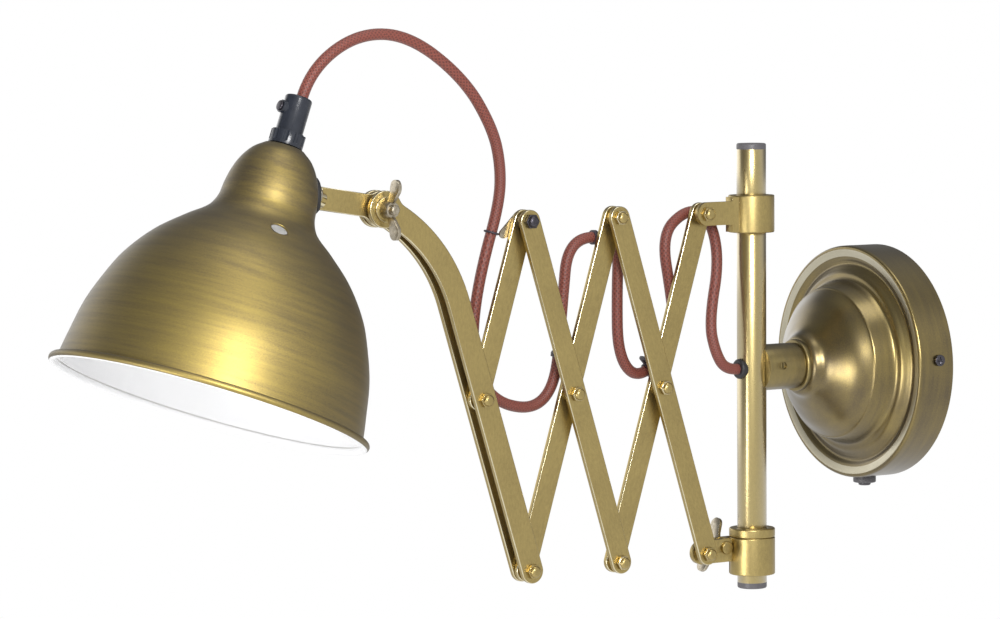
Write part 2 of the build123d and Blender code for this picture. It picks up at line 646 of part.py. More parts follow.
save(curved_bar(FRONT_X), "curved_arm_front")
save(curved_bar(BACK_ARM_X), "curved_arm_rear")


# ---- Pivots: bolt, dome nut and spacer washer ----
def pivot(at, head_face, nut_face, spacer_from, spacer_to):
    """Bolt with its head at the rear, dome nut at the front and a spacer between the layers."""
    with BuildPart() as fasteners:
        with BuildSketch(on_layer(head_face - HEAD_T)):
            with Locations(at):
                Circle(HEAD_R)
        extrude(amount=HEAD_T)
        fillet(fasteners.faces().sort_by(Axis.X)[0].edges(), 1.1)
        with BuildSketch(on_layer(head_face)):
            with Locations(at):
                Circle(PIVOT_R)
        extrude(amount=nut_face + 1.0 - head_face)
    with BuildPart() as dome_nut:
        with BuildSketch(on_layer(nut_face)):
            with Locations(at):
                RegularPolygon(NUT_FLATS / 2, 6, major_radius=False)
        extrude(amount=NUT_HEX_T)
        with BuildSketch(on_layer(nut_face + NUT_HEX_T)):
            with Locations(at):
                Circle(NUT_DOME_R)
        extrude(amount=2.2)
        fillet(dome_nut.faces().sort_by(Axis.X)[-1].edges(), 1.9)
        with BuildSketch(on_layer(nut_face)):
            with Locations(at):
                Circle(PIVOT_R)
        extrude(amount=1.0, mode=Mode.SUBTRACT)
    with BuildPart() as spacer:
        with BuildSketch(on_layer(spacer_from)):
            with Locations(at):
                Circle(SPACER_R)
                Circle(PIVOT_R, mode=Mode.SUBTRACT)
        extrude(amount=spacer_to - spacer_from)
    return [fasteners.part, dome_nut.part, spacer.part]


def save_pivots(groups, label):
    """Writes the fasteners that one body carries as separate solids of one node."""
    solids = [solid for group in groups for piece in group for solid in piece.solids()]
    save(Compound(children=solids), label)


FRONT_FACE = FRONT_X + BAR_T
REAR_FACE = REAR_X
HELD_BY_FRONT = (REAR_FACE - MOVING_GAP, FRONT_FACE, REAR_X + BAR_T + MOVING_GAP, FRONT_X)
HELD_BY_REAR = (REAR_FACE, FRONT_FACE + MOVING_GAP, REAR_X + BAR_T, FRONT_X - MOVING_GAP)
HOOK_T = 1.0
HELD_WITH_HOOK = (REAR_FACE - HOOK_T, FRONT_FACE + MOVING_GAP, REAR_X + BAR_T, FRONT_X - MOVING_GAP)
HELD_BY_ARM = (BACK_ARM_X, FRONT_FACE, REAR_X + BAR_T + MOVING_GAP, FRONT_X)

save_pivots([pivot(T3, *HELD_BY_FRONT)], "pivot_top_collar")
save_pivots([pivot(D3, *HELD_BY_REAR)], "pivot_low_collar")
save_pivots([pivot(C3, *HELD_BY_REAR), pivot(D2, *HELD_BY_REAR)], "pivots_bar_b1")
save_pivots([pivot(T2, *HELD_BY_FRONT)], "pivot_bar_f1")
save_pivots([pivot(C2, *HELD_BY_REAR)], "pivot_bar_b2")
save_pivots([pivot(T1, *HELD_WITH_HOOK)], "pivot_bar_b3")
save_pivots([pivot(C1, *HELD_BY_ARM), pivot(D1, *HELD_BY_ARM)], "pivots_curved_arm")

# ---- Knuckle ----
KNUCKLE_WASHER_R = 6.5
KNUCKLE_WASHER_T = 1.0
STRAP_BACK_X = STRAP_X - STRAP_T / 2
WASHER_FACE = FRONT_FACE + KNUCKLE_WASHER_T

with BuildPart() as knuckle_bolt:
    with BuildSketch(on_layer(BACK_ARM_X - 3.2)):
        with Locations(KNUCKLE):
            Circle(5.0)
    extrude(amount=3.2)
    fillet(knuckle_bolt.faces().sort_by(Axis.X)[0].edges(), 1.4)
    with BuildSketch(on_layer(BACK_ARM_X)):
        with Locations(KNUCKLE):
            Circle(KNUCKLE_BOLT_R)
    extrude(amount=WASHER_FACE + WING_HUB_T + 3.4 - BACK_ARM_X)
    chamfer(knuckle_bolt.faces().sort_by(Axis.X)[-1].edges(), 0.5)
save(knuckle_bolt.part, "knuckle_bolt")


def washer_at(x, thickness, radius):
    """A flat washer on the knuckle bolt."""
    with BuildPart() as washer:
        with BuildSketch(on_layer(x)):
            with Locations(KNUCKLE):
                Circle(radius)
                Circle(KNUCKLE_BOLT_R, mode=Mode.SUBTRACT)
        extrude(amount=thickness)
    return washer.part


inner_front = washer_at(STRAP_BACK_X + STRAP_T + MOVING_GAP, FRONT_X - STRAP_BACK_X - STRAP_T - MOVING_GAP, 8.0)
arm_inner_face = BACK_ARM_X + BAR_T
inner_rear = washer_at(arm_inner_face, STRAP_BACK_X - MOVING_GAP - arm_inner_face, 8.0)
outer_front = washer_at(FRONT_FACE, KNUCKLE_WASHER_T, KNUCKLE_WASHER_R)
save(Compound(children=[w.solids()[0] for w in (inner_front, inner_rear, outer_front)]), "knuckle_washers")

KNUCKLE_WING_SEAT = facing((1, 0, 0), (WASHER_FACE + WING_GAP, *KNUCKLE), (0, 0.03, 1))
save(wing_nut(KNUCKLE_WING_SEAT, KNUCKLE_BOLT_R + RUN_FIT), "knuckle_wing_nut")

# ---- Head ----
STRAP_W = 11.9
STRAP_EYE_R = 9.3
STRAP_LIFT = 1.6  # the strap's middle line passes above the knuckle
STUD_R = 2.5
SHOULDER_R = 4.2
GASKET_R = 10.2
GASKET_T = 2.2
NECK_WASHER_R = 5.8
NECK_WASHER_T = 1.0
STUD_SHOULDER = 1.8
STRAP_CLEAR = 0.5  # strap to the neck washer
STUD_IN = 8.0  # stud past the neck's outside
STUD_NUT_R = 4.0
STUD_NUT_T = 3.6
RIM_BEAD_R = 2.0
BEAD_ROOT_R = 4.0  # the bead's middle line to the middle of its root
BEAD_ROOT_UP = 3.3
BEAD_ROOT_L = 3.4
BEAD_ROOT_T = 1.3
VENT_STATION = 0.657 * SHADE_H
VENT_OUT = 0.4474 * RIM_R
VENT_ANGLE = -15.0
VENT_SLOPE = 0.75
VENT_R = 4.4
NIPPLE_TUBE_R = 5.0
NIPPLE_BORE_R = 3.4
CROWN_T = 0.9  # sheet along the shade's axis near its crown
WALL_SINK = 0.35
SHADE_WALL_SHARES = [
    (0.9504, 0.0248), (0.9299, 0.1168), (0.8924, 0.2409), (0.8307, 0.3504), (0.7533, 0.4526),
    (0.6203, 0.562), (0.4631, 0.6496), (0.3458, 0.708),
]
SHADE_CAP_SHARES = [
    (0.3047, 0.7555), (0.2926, 0.8102), (0.2751, 0.8628), (0.2418, 0.9161), (0.1886, 0.9635), (0.1258, 0.9942),
]
SHADE_WALL = [(RIM_R * out, SHADE_H * up) for out, up in SHADE_WALL_SHARES]
SHADE_CAP = [(RIM_R * out, SHADE_H * up) for out, up in SHADE_CAP_SHARES]

with BuildPart() as shade:
    with BuildSketch(SHADE_SECTION):
        with BuildLine():
            wall = Spline(*SHADE_WALL, tangents=[(-0.1, 1), (-1, 0.75)])
            cap = Spline(SHADE_WALL[-1], *SHADE_CAP, tangents=[(-0.75, 1), (-1, 0.35)])
            Polyline(cap @ 1, (0, GRIP_FOOT), (0, SHADE_WALL[0][1]), SHADE_WALL[0])
        make_face()
    revolve(axis=SHADE_SPIN)
    with BuildSketch(SHADE_SECTION):
        with BuildLine():
            inside_wall = Spline(*[(r - SHEET_T, s - WALL_SINK) for r, s in SHADE_WALL])
            inside_cap = Spline(inside_wall @ 1, *[(r - SHEET_T, s - CROWN_T) for r, s in SHADE_CAP])
            Polyline(
                inside_cap @ 1,
                (0, GRIP_FOOT - SHEET_T),
                (0, -FACE_LAP),
                (SHADE_WALL[0][0] - SHEET_T, -FACE_LAP),
                inside_wall @ 0,
            )
        make_face()
    revolve(axis=SHADE_SPIN, mode=Mode.SUBTRACT)
    with BuildSketch(SHADE_SECTION):
        with Locations((RIM_R - RIM_BEAD_R, RIM_BEAD_R)):
            Circle(RIM_BEAD_R)
        with Locations((RIM_R - BEAD_ROOT_R, BEAD_ROOT_UP)):
            Rectangle(BEAD_ROOT_L, BEAD_ROOT_T)
    revolve(axis=SHADE_SPIN)
    with BuildSketch(SHADE.offset(NECK_STATION)):
        Circle(NIPPLE_TUBE_R)
    extrude(amount=GRIP_TOP - NECK_STATION, mode=Mode.SUBTRACT)
    vent_way = SHADE.x_dir * cos(radians(VENT_ANGLE)) + SHADE.y_dir * sin(radians(VENT_ANGLE))
    vent_out = vent_way + SHADE_AXIS * VENT_SLOPE
    vent_at = MOUTH + SHADE_AXIS * VENT_STATION + vent_way * VENT_OUT
    with BuildSketch(facing(vent_out, vent_at)):
        Circle(VENT_R)
    extrude(amount=2 * VENT_R, both=True, mode=Mode.SUBTRACT)
    with BuildSketch(facing(SHADE.y_dir, MOUTH + SHADE_AXIS * NECK_STATION)):
        Circle(STUD_R)
    extrude(amount=2 * NECK_R, mode=Mode.SUBTRACT)
save(shade.part, "shade")

NECK_AT = MOUTH + SHADE_AXIS * NECK_STATION
NECK_OUT = SHADE.y_dir
STRAP_END = NECK_AT + NECK_OUT * (NECK_R + GASKET_T + NECK_WASHER_T + STUD_SHOULDER)

with BuildPart() as neck_body:
    with BuildSketch(SHADE_SECTION):
        with BuildLine():
            seat_cap = Spline(SHADE_WALL[-1], *SHADE_CAP, tangents=[(-0.75, 1), (-1, 0.35)])
            Polyline(seat_cap @ 1, (0, GRIP_FOOT), (0, SHADE_WALL[-1][1]), SHADE_WALL[-1])
        make_face()
    revolve(axis=SHADE_SPIN)

# The gasket is a saddle: it keeps one thickness over the neck's curve.
with BuildPart() as neck_gasket:
    with BuildSketch(facing(NECK_OUT, NECK_AT + NECK_OUT * (NECK_R - 2 * GASKET_T))):
        Circle(GASKET_R)
        Circle(STUD_R, mode=Mode.SUBTRACT)
    extrude(amount=3 * GASKET_T)
    add(neck_body.part.moved(Location(NECK_OUT * GASKET_T)), mode=Mode.INTERSECT)
    add(neck_body.part, mode=Mode.SUBTRACT)
save(neck_gasket.part, "neck_gasket")

with BuildPart() as neck_washer:
    with BuildSketch(facing(NECK_OUT, NECK_AT + NECK_OUT * (NECK_R + GASKET_T))):
        Circle(NECK_WASHER_R)
        Circle(STUD_R, mode=Mode.SUBTRACT)
    extrude(amount=NECK_WASHER_T)
save(neck_washer.part, "neck_washer")

strap_run = (STRAP_END.Y - KNUCKLE[0], STRAP_END.Z - KNUCKLE[1])
strap_reach = hypot(*strap_run)
strap_slope = degrees(atan2(strap_run[1], strap_run[0]))
strap_side = (sin(radians(strap_slope)), -cos(radians(strap_slope)))
strap_mid = (
    (STRAP_END.Y + KNUCKLE[0]) / 2 + STRAP_LIFT / 2 * strap_side[0],
    (STRAP_END.Z + KNUCKLE[1]) / 2 + STRAP_LIFT / 2 * strap_side[1],
)

with BuildPart() as head_strap:
    with BuildSketch(on_layer(STRAP_BACK_X)) as strap_outline:
        with Locations(strap_mid):
            Rectangle(strap_reach, STRAP_W, rotation=strap_slope)
        with Locations(KNUCKLE):
            Circle(STRAP_EYE_R)
        strap_roots = strap_outline.vertices().filter_by(
            lambda v: abs(hypot(v.X - KNUCKLE[0], v.Y - KNUCKLE[1]) - STRAP_EYE_R) < 0.01
        )
        fillet(strap_roots, 6.0)
    extrude(amount=STRAP_T)
    fillet(head_strap.faces().filter_by(Axis.X).edges(), BAR_EDGE)
    with BuildSketch(facing(NECK_OUT, NECK_AT + NECK_OUT * NECK_R)):
        Circle(NECK_WASHER_R + STRAP_CLEAR)
    extrude(amount=GASKET_T + NECK_WASHER_T + STRAP_CLEAR, mode=Mode.SUBTRACT)
    with BuildSketch(facing(NECK_OUT, STRAP_END - NECK_OUT * STUD_SHOULDER)):
        Circle(SHOULDER_R)
    extrude(amount=2 * STUD_SHOULDER)
    with BuildSketch(facing(NECK_OUT, NECK_AT + NECK_OUT * (NECK_R - STUD_IN))):
        Circle(STUD_R)
    extrude(amount=STUD_IN + GASKET_T + NECK_WASHER_T)
    with BuildSketch(on_layer(STRAP_BACK_X)):
        with Locations(KNUCKLE):
            Circle(KNUCKLE_BOLT_R + RUN_FIT)
    extrude(amount=STRAP_T, mode=Mode.SUBTRACT)
save(head_strap.part, "head_strap")

with BuildPart() as stud_nut:
    with BuildSketch(facing(NECK_OUT, NECK_AT + NECK_OUT * (NECK_R - STUD_IN + 1.0))):
        RegularPolygon(STUD_NUT_R, 6, major_radius=False)
        Circle(STUD_R, mode=Mode.SUBTRACT)
    extrude(amount=STUD_NUT_T)
save(stud_nut.part, "stud_nut")

GRIP_R = 7.0
GRIP_FLANGE_R = 8.9
GRIP_FLANGE_T = 7.0
NIPPLE_TOP = GRIP_FOOT + 9.0
HOLDER_TOP = GRIP_FOOT - 6.0
HOLDER_ROOM = 8.75  # holder to the neck's outside
HOLDER_R = NECK_R - HOLDER_ROOM
HOLDER_NECK_R = HOLDER_R - 3.5
HOLDER_TAPER = 7.0
HOLDER_H = 40.0
HOLDER_WALL = 2.0
HOLDER_FLOOR = 14.0
NIPPLE_HOLD = 6.0
FLUTE_R = 1.3
FLUTE_OUT = 0.6
FLUTES = 10
FLUTE_UP = 1.5
BOSS_DROP = 7.5  # the clamp screw below the grip's top
BOSS_R = 3.3
BOSS_PROUD = 1.8
GRIP_SCREW_R = 1.5
GRIP_SCREW_HEAD_R = 2.6
GRIP_SCREW_HEAD_T = 1.2
GRIP_SCREW_IN = 3.2  # the screw's tip from the grip's axis

with BuildPart() as lamp_nipple:
    with BuildSketch(SHADE.offset(HOLDER_TOP - NIPPLE_HOLD)):
        Circle(NIPPLE_TUBE_R)
        Circle(NIPPLE_BORE_R, mode=Mode.SUBTRACT)
    extrude(amount=NIPPLE_TOP - HOLDER_TOP + NIPPLE_HOLD)
save(lamp_nipple.part, "lamp_nipple")

with BuildPart() as cord_grip:
    with BuildSketch(SHADE.offset(GRIP_FOOT)):
        Circle(GRIP_FLANGE_R)
    extrude(amount=GRIP_FLANGE_T)
    with BuildSketch(SHADE.offset(GRIP_FOOT + FLUTE_UP)):
        with PolarLocations(GRIP_FLANGE_R + FLUTE_OUT, FLUTES):
            Circle(FLUTE_R)
    extrude(amount=GRIP_FLANGE_T, mode=Mode.SUBTRACT)
    with BuildSketch(SHADE.offset(GRIP_FOOT)):
        Circle(GRIP_R)
    extrude(amount=GRIP_TOP - GRIP_FOOT)
    fillet(cord_grip.faces().sort_by(SHADE_SPIN)[-1].edges(), 1.4)
    screw_out = SHADE.y_dir * -1
    boss_at = MOUTH + SHADE_AXIS * (GRIP_TOP - BOSS_DROP)
    with BuildSketch(facing(screw_out, boss_at)):
        Circle(BOSS_R)
    extrude(amount=GRIP_R + BOSS_PROUD)
    with BuildSketch(facing(screw_out, boss_at + screw_out * GRIP_SCREW_IN)):
        Circle(GRIP_SCREW_R)
    extrude(amount=GRIP_R + BOSS_PROUD, mode=Mode.SUBTRACT)
    with BuildSketch(SHADE.offset(GRIP_FOOT)):
        Circle(NIPPLE_TUBE_R)
    extrude(amount=NIPPLE_TOP - GRIP_FOOT, mode=Mode.SUBTRACT)
save(cord_grip.part, "cord_grip")

with BuildPart() as grip_screw:
    with BuildSketch(facing(screw_out, boss_at + screw_out * GRIP_SCREW_IN)):
        Circle(GRIP_SCREW_R)
    extrude(amount=GRIP_R + BOSS_PROUD - GRIP_SCREW_IN)
    with BuildSketch(facing(screw_out, boss_at + screw_out * (GRIP_R + BOSS_PROUD))):
        Circle(GRIP_SCREW_HEAD_R)
    extrude(amount=GRIP_SCREW_HEAD_T)
save(grip_screw.part, "grip_screw")

with BuildPart() as lampholder:
    with BuildSketch(SHADE_SECTION):
        with BuildLine():
            Polyline(
                (NIPPLE_TUBE_R, HOLDER_TOP),
                (HOLDER_NECK_R, HOLDER_TOP),
                (HOLDER_R, HOLDER_TOP - HOLDER_TAPER),
                (HOLDER_R, HOLDER_TOP - HOLDER_H),
                (HOLDER_R - HOLDER_WALL, HOLDER_TOP - HOLDER_H),
                (HOLDER_R - HOLDER_WALL, HOLDER_TOP - HOLDER_FLOOR),
                (NIPPLE_TUBE_R, HOLDER_TOP - HOLDER_FLOOR),
                (NIPPLE_TUBE_R, HOLDER_TOP),
            )
        make_face()
    revolve(axis=SHADE_SPIN)
save(lampholder.part, "lampholder")

# ---- Cord: control points (X, Y, Z) chosen by hand along the photographed curve ----
def between(start, end, share):
    """The point at a share of the way from one control point to the next."""
    return tuple(a + (b - a) * share for a, b in zip(start, end))


GRIP_EXIT = MOUTH + SHADE_AXIS * GRIP_TOP + SHADE.y_dir * CORD_GRIP_SIDE
ABOVE_GRIP = GRIP_EXIT + SHADE_AXIS * 15.5
GROMMET_FACE = (0.0, POLE_Y - POLE_R - GROMMET_PROUD, AXIS_Z)
LOOP_RISE = 88.3  # knuckle to the top of the cord's first loop
RISE = (-4.5, KNUCKLE[0] - 11.15, KNUCKLE[1] + LOOP_RISE + 1.0)
CREST_OF_LOOP = (-5.0, KNUCKLE[0] + 20.35, KNUCKLE[1] + LOOP_RISE)
PEAK = between(RISE, CREST_OF_LOOP, 0.5)
ABOVE_RING = (-9.0, -244.6, 93.9)
BELOW_RING = (-12.5, -263.0, 32.5)
RING_AT = between(ABOVE_RING, BELOW_RING, 0.25)
FIRST_SAG = (-11.5, -210.0, -17.3)
BESIDE_F2 = (-9.0, -205.5, 38.0)
TIE_F2 = between(FIRST_SAG, BESIDE_F2, 0.54)
SECOND_TOP = (-9.0, -201.5, 74.5)
BEHIND_T2 = (-9.0, -169.0, 73.0)
BEHIND_B2 = between(SECOND_TOP, BEHIND_T2, 0.5)
SECOND_SAG = (-9.0, -159.0, -3.0)
BEHIND_C3 = (-9.0, -131.0, 12.0)
TIE_F1 = between(SECOND_SAG, BEHIND_C3, 0.3)
BESIDE_B1 = (-9.0, -135.3, 42.0)
BEHIND_B1 = between(BEHIND_C3, BESIDE_B1, 0.7)
THIRD_TOP = (-11.0, -125.5, 85.5)
PAST_T3 = (-11.0, -109.5, 85.0)
BEHIND_T3 = between(THIRD_TOP, PAST_T3, 0.5)

STRETCHES = {
    "cord_grip_to_peak": [tuple(GRIP_EXIT), tuple(ABOVE_GRIP), RISE, PEAK],
    "cord_peak_to_ring": [
        PEAK,
        CREST_OF_LOOP,
        (-6.0, -267.5, 158.8),
        (-7.5, -249.2, 132.6),
        (-8.5, -243.9, 112.9),
        ABOVE_RING,
        RING_AT,
    ],
    "cord_ring_to_tie_f2": [RING_AT, BELOW_RING, (-12.0, -253.0, -10.5), FIRST_SAG, TIE_F2],
    "cord_tie_f2_to_b2": [TIE_F2, BESIDE_F2, SECOND_TOP, BEHIND_B2],
    "cord_b2_to_tie_f1": [
        BEHIND_B2,
        BEHIND_T2,
        (-9.0, -170.4, 42.0),
        (-9.0, -170.0, 11.0),
        SECOND_SAG,
        TIE_F1,
    ],
    "cord_tie_f1_to_b1": [TIE_F1, BEHIND_C3, BEHIND_B1],
    "cord_b1_to_collar": [BEHIND_B1, BESIDE_B1, (-9.0, -141.0, 73.0), THIRD_TOP, BEHIND_T3],
    "cord_collar_to_pole": [
        BEHIND_T3,
        PAST_T3,
        (-8.5, -103.0, 60.5),
        (-4.0, -113.5, 25.5),
        (-1.0, -111.5, 9.0),
        (0.0, -105.5, AXIS_Z),
        GROMMET_FACE,
    ],
}
INNER_SHARE = 0.45
END_SHARE = 0.85
LARGEST_BEND = 45.0


def bend_radii(points):
    """The largest round arc that fits each corner of a cord's route."""
    places = [Vector(*p) for p in points]
    runs = [b - a for a, b in zip(places, places[1:])]
    shares = [END_SHARE if i in (0, len(runs) - 1) else INNER_SHARE for i in range(len(runs))]
    radii = []
    for i in range(len(runs) - 1):
        half_turn = radians(runs[i].get_angle(runs[i + 1])) / 2
        room = min(runs[i].length * shares[i], runs[i + 1].length * shares[i + 1])
        radii.append(round(min(room / tan(half_turn), LARGEST_BEND), 2))
    return radii


def cord_stretch(points, label):
    """One round stretch of the cord, swept along straight runs and tangent arcs."""
    radii = bend_radii(points)
    with BuildPart() as stretch:
        with BuildLine():
            route = FilletPolyline(*points, radius=radii)
        with BuildSketch(Plane(origin=route @ 0, z_dir=route % 0)):
            Circle(CORD_R)
        sweep()
    swept = route.length * 3.14159 * CORD_R**2
    print(label, "length", round(route.length, 1), "radii", radii, "volume share", stretch.part.volume / swept)
    save(stretch.part, label)


for stretch_label, stretch_points in STRETCHES.items():
    cord_stretch(stretch_points, stretch_label)

LEAD_Y = -9.0
cord_stretch(
    [GROMMET_FACE, (0.0, LEAD_Y, AXIS_Z), (BLOCK_X, LEAD_Y, AXIS_Z)],
    "lead_in_stub",
)

# ---- What holds the cord ----
WIRE_R = 0.55
TIE_T = 0.9
TIE_W = 2.2
TIE_NECK_R = 1.1
TIE_TAB_T = 1.8
HOOK_EYE = (T1[0] - 11.0, T1[1] - 6.5)
ring_axis = Vector(*BELOW_RING) - Vector(*RING_AT)
RING_PLANE = facing(ring_axis, RING_AT)

with BuildPart() as cord_hook:
    with BuildSketch(on_layer(REAR_FACE - HOOK_T)):
        with Locations(T1):
            Circle(5.4)
        with Locations(HOOK_EYE):
            Circle(2.4)
        make_hull()
        with Locations(T1):
            Circle(PIVOT_R, mode=Mode.SUBTRACT)
    extrude(amount=HOOK_T)
    wire_start = Vector(REAR_FACE - HOOK_T / 2, *HOOK_EYE)
    wire_end = Vector(*RING_AT) + Vector(2.6, 2.25, -0.8)
    with BuildSketch(facing(wire_end - wire_start, wire_start)):
        Circle(WIRE_R)
    extrude(amount=(wire_end - wire_start).length)
    with BuildSketch(Plane(origin=RING_AT, x_dir=RING_PLANE.x_dir, z_dir=RING_PLANE.y_dir)):
        with Locations((CORD_R + WIRE_R, 0)):
            Circle(WIRE_R)
    revolve(axis=Axis(RING_AT, ring_axis))
save(cord_hook.part, "cord_hook")


def cord_tie(place, onward, bar_face, root_at, neck_at, label):
    """A black tie round the cord, a flat tab behind the bars and a neck to the bar's rear face."""
    way = Vector(*onward) - Vector(*place)
    tab_x = place[0] + TIE_TAB_T / 2
    with BuildPart() as tie:
        with BuildSketch(facing(way, Vector(*place) - way.normalized() * TIE_W / 2)):
            Circle(CORD_R + TIE_T)
        extrude(amount=TIE_W)
        with BuildSketch(on_layer(tab_x)):
            with Locations((place[1] + root_at[0], place[2] + root_at[1])):
                Circle(TIE_NECK_R)
            with Locations((place[1] + neck_at[0], place[2] + neck_at[1])):
                Circle(TIE_NECK_R)
            make_hull()
        extrude(amount=TIE_TAB_T)
        with BuildSketch(on_layer(tab_x)):
            with Locations((place[1] + neck_at[0], place[2] + neck_at[1])):
                Circle(TIE_NECK_R)
        extrude(amount=bar_face - tab_x)
        with BuildSketch(facing(way, Vector(*place) - way.normalized() * 6)):
            Circle(CORD_R)
        extrude(amount=12, mode=Mode.SUBTRACT)
    save(tie.part, label)


cord_tie(TIE_F2, BESIDE_F2, FRONT_X, (-3.2, 0.0), (-3.8, 1.5), "tie_bar_f2")
cord_tie(BEHIND_B2, BEHIND_T2, REAR_FACE, (0.0, 0.0), (0.0, 0.6), "tie_bar_b2")
cord_tie(TIE_F1, BEHIND_C3, FRONT_X, (-1.5, 2.8), (-5.0, 6.6), "tie_bar_f1")
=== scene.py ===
"""Looks of an accordion wall lamp: turned bronze, satin brass bars, nickel wing nuts and a braided cord.

Metres, in the CAD frame: the wall is the plane Y = 0, the arm reaches along -Y and +Z is up.
"""

import json
import logging
from collections.abc import Callable
from dataclasses import dataclass, field
from enum import Enum
from math import cos, pi, radians, sin

import bmesh
import bpy
from mathutils import Matrix, Vector
from mathutils.geometry import interpolate_bezier

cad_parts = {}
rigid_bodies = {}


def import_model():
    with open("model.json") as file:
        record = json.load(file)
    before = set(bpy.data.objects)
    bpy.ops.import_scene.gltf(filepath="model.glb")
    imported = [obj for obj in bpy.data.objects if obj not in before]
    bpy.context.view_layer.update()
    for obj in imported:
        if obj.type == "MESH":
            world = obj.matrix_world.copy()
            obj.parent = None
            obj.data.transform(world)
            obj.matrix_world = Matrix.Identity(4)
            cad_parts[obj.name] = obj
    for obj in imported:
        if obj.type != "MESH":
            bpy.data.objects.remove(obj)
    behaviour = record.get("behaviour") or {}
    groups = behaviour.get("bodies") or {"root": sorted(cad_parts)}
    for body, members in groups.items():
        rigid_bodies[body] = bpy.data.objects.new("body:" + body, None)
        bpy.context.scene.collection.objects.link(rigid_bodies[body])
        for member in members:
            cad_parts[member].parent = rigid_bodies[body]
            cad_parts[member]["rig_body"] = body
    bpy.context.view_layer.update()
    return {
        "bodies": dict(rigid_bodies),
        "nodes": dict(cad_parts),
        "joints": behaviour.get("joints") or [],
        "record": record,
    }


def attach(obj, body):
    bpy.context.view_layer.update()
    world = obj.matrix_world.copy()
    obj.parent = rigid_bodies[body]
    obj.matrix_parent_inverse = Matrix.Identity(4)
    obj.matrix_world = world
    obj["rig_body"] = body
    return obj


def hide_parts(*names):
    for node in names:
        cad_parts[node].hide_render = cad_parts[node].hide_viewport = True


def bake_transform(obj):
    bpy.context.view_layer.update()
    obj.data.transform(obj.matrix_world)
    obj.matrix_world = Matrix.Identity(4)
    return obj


log = logging.getLogger("wall_lamp")
MM = 0.001
Colour = tuple[float, float, float]
Point = tuple[float, float, float]

# Sockets of Blender's Mix node, whose data types share one list
FLOAT_A, FLOAT_B, COLOUR_A, COLOUR_B, MIXED_COLOUR = 2, 3, 6, 7, 2
# Mesh tolerances, in metres and radians
WELD, CAD_WELD = 1e-6, 5e-6
FLAT_ANGLE, SMOOTH_ANGLE, BEVEL_ANGLE = radians(0.6), radians(34), radians(38)
# Sideways part of the normal on a flat bar's worn edges
WORN_SLOPE = (0.2, 0.93)


class Slot(Enum):
    """The record's material slots; each piece names one, which the script passes along but doesn't use."""

    BRONZE = "antique_bronze"
    BRASS = "aged_brass"
    NICKEL = "aged_nickel"
    STEEL = "zinc_steel"
    PLASTIC = "dark_plastic"
    RUBBER = "black_rubber"
    TEXTILE = "textile_cord"


class Grain(Enum):
    """Which way a finish's marks run on its piece."""

    TURNED = "turned"
    BRUSHED = "brushed"


# ---- Places shared by the sub-assemblies, in millimetres as in the part's source ----
SHADE_TILT = radians(21.0)
SHADE_LEAN = radians(2.56)
SHADE_AXIS = Vector((-sin(SHADE_LEAN), sin(SHADE_TILT) * cos(SHADE_LEAN), cos(SHADE_TILT) * cos(SHADE_LEAN)))
SHADE_ACROSS = Vector((cos(SHADE_LEAN), sin(SHADE_LEAN) * sin(SHADE_TILT), sin(SHADE_LEAN) * cos(SHADE_TILT)))
STUD_STATION = 118.2
SHADE_MOUTH = Vector((-1.65 + STUD_STATION * sin(SHADE_LEAN), -425.8, -1.0))
PLATE_CENTRE = Vector((0.0, 0.0, -0.5))
HALF_ANGLE = radians(17.2)


def turned_place(origin: Vector, axis: Vector, across: Vector) -> Matrix:
    """The place of a turned piece: local Z is its axis.

    Args:
        origin: Foot of the axis, in millimetres.
        axis: Direction of the axis.
        across: A direction square to the axis, which becomes local X.

    Returns:
        The matrix from the piece's own metres to the row frame.
    """
    z = axis.normalized()
    x = across.normalized()
    y = z.cross(x)
    return Matrix.Translation(origin * MM) @ Matrix((x, y, z)).transposed().to_4x4()


SHADE_PLACE = turned_place(SHADE_MOUTH, SHADE_AXIS, SHADE_ACROSS)
PLATE_PLACE = turned_place(PLATE_CENTRE, Vector((0, -1, 0)), Vector((0, 0, 1)))
POLE_PLACE = turned_place(Vector((0, -88.0, 0)), Vector((0, 0, 1)), Vector((1, 0, 0)))
RISING_BARS = Matrix.Rotation(HALF_ANGLE, 4, "X")
FALLING_BARS = Matrix.Rotation(-HALF_ANGLE, 4, "X")


# ---- Shader groups shared by the finishes ----
def maths(add: Callable[[str], bpy.types.Node], operation: str, vector: bool = False) -> bpy.types.Node:
    """Adds a node that does one sum on numbers or on vectors."""
    node = add("ShaderNodeVectorMath" if vector else "ShaderNodeMath")
    node.operation = operation
    return node


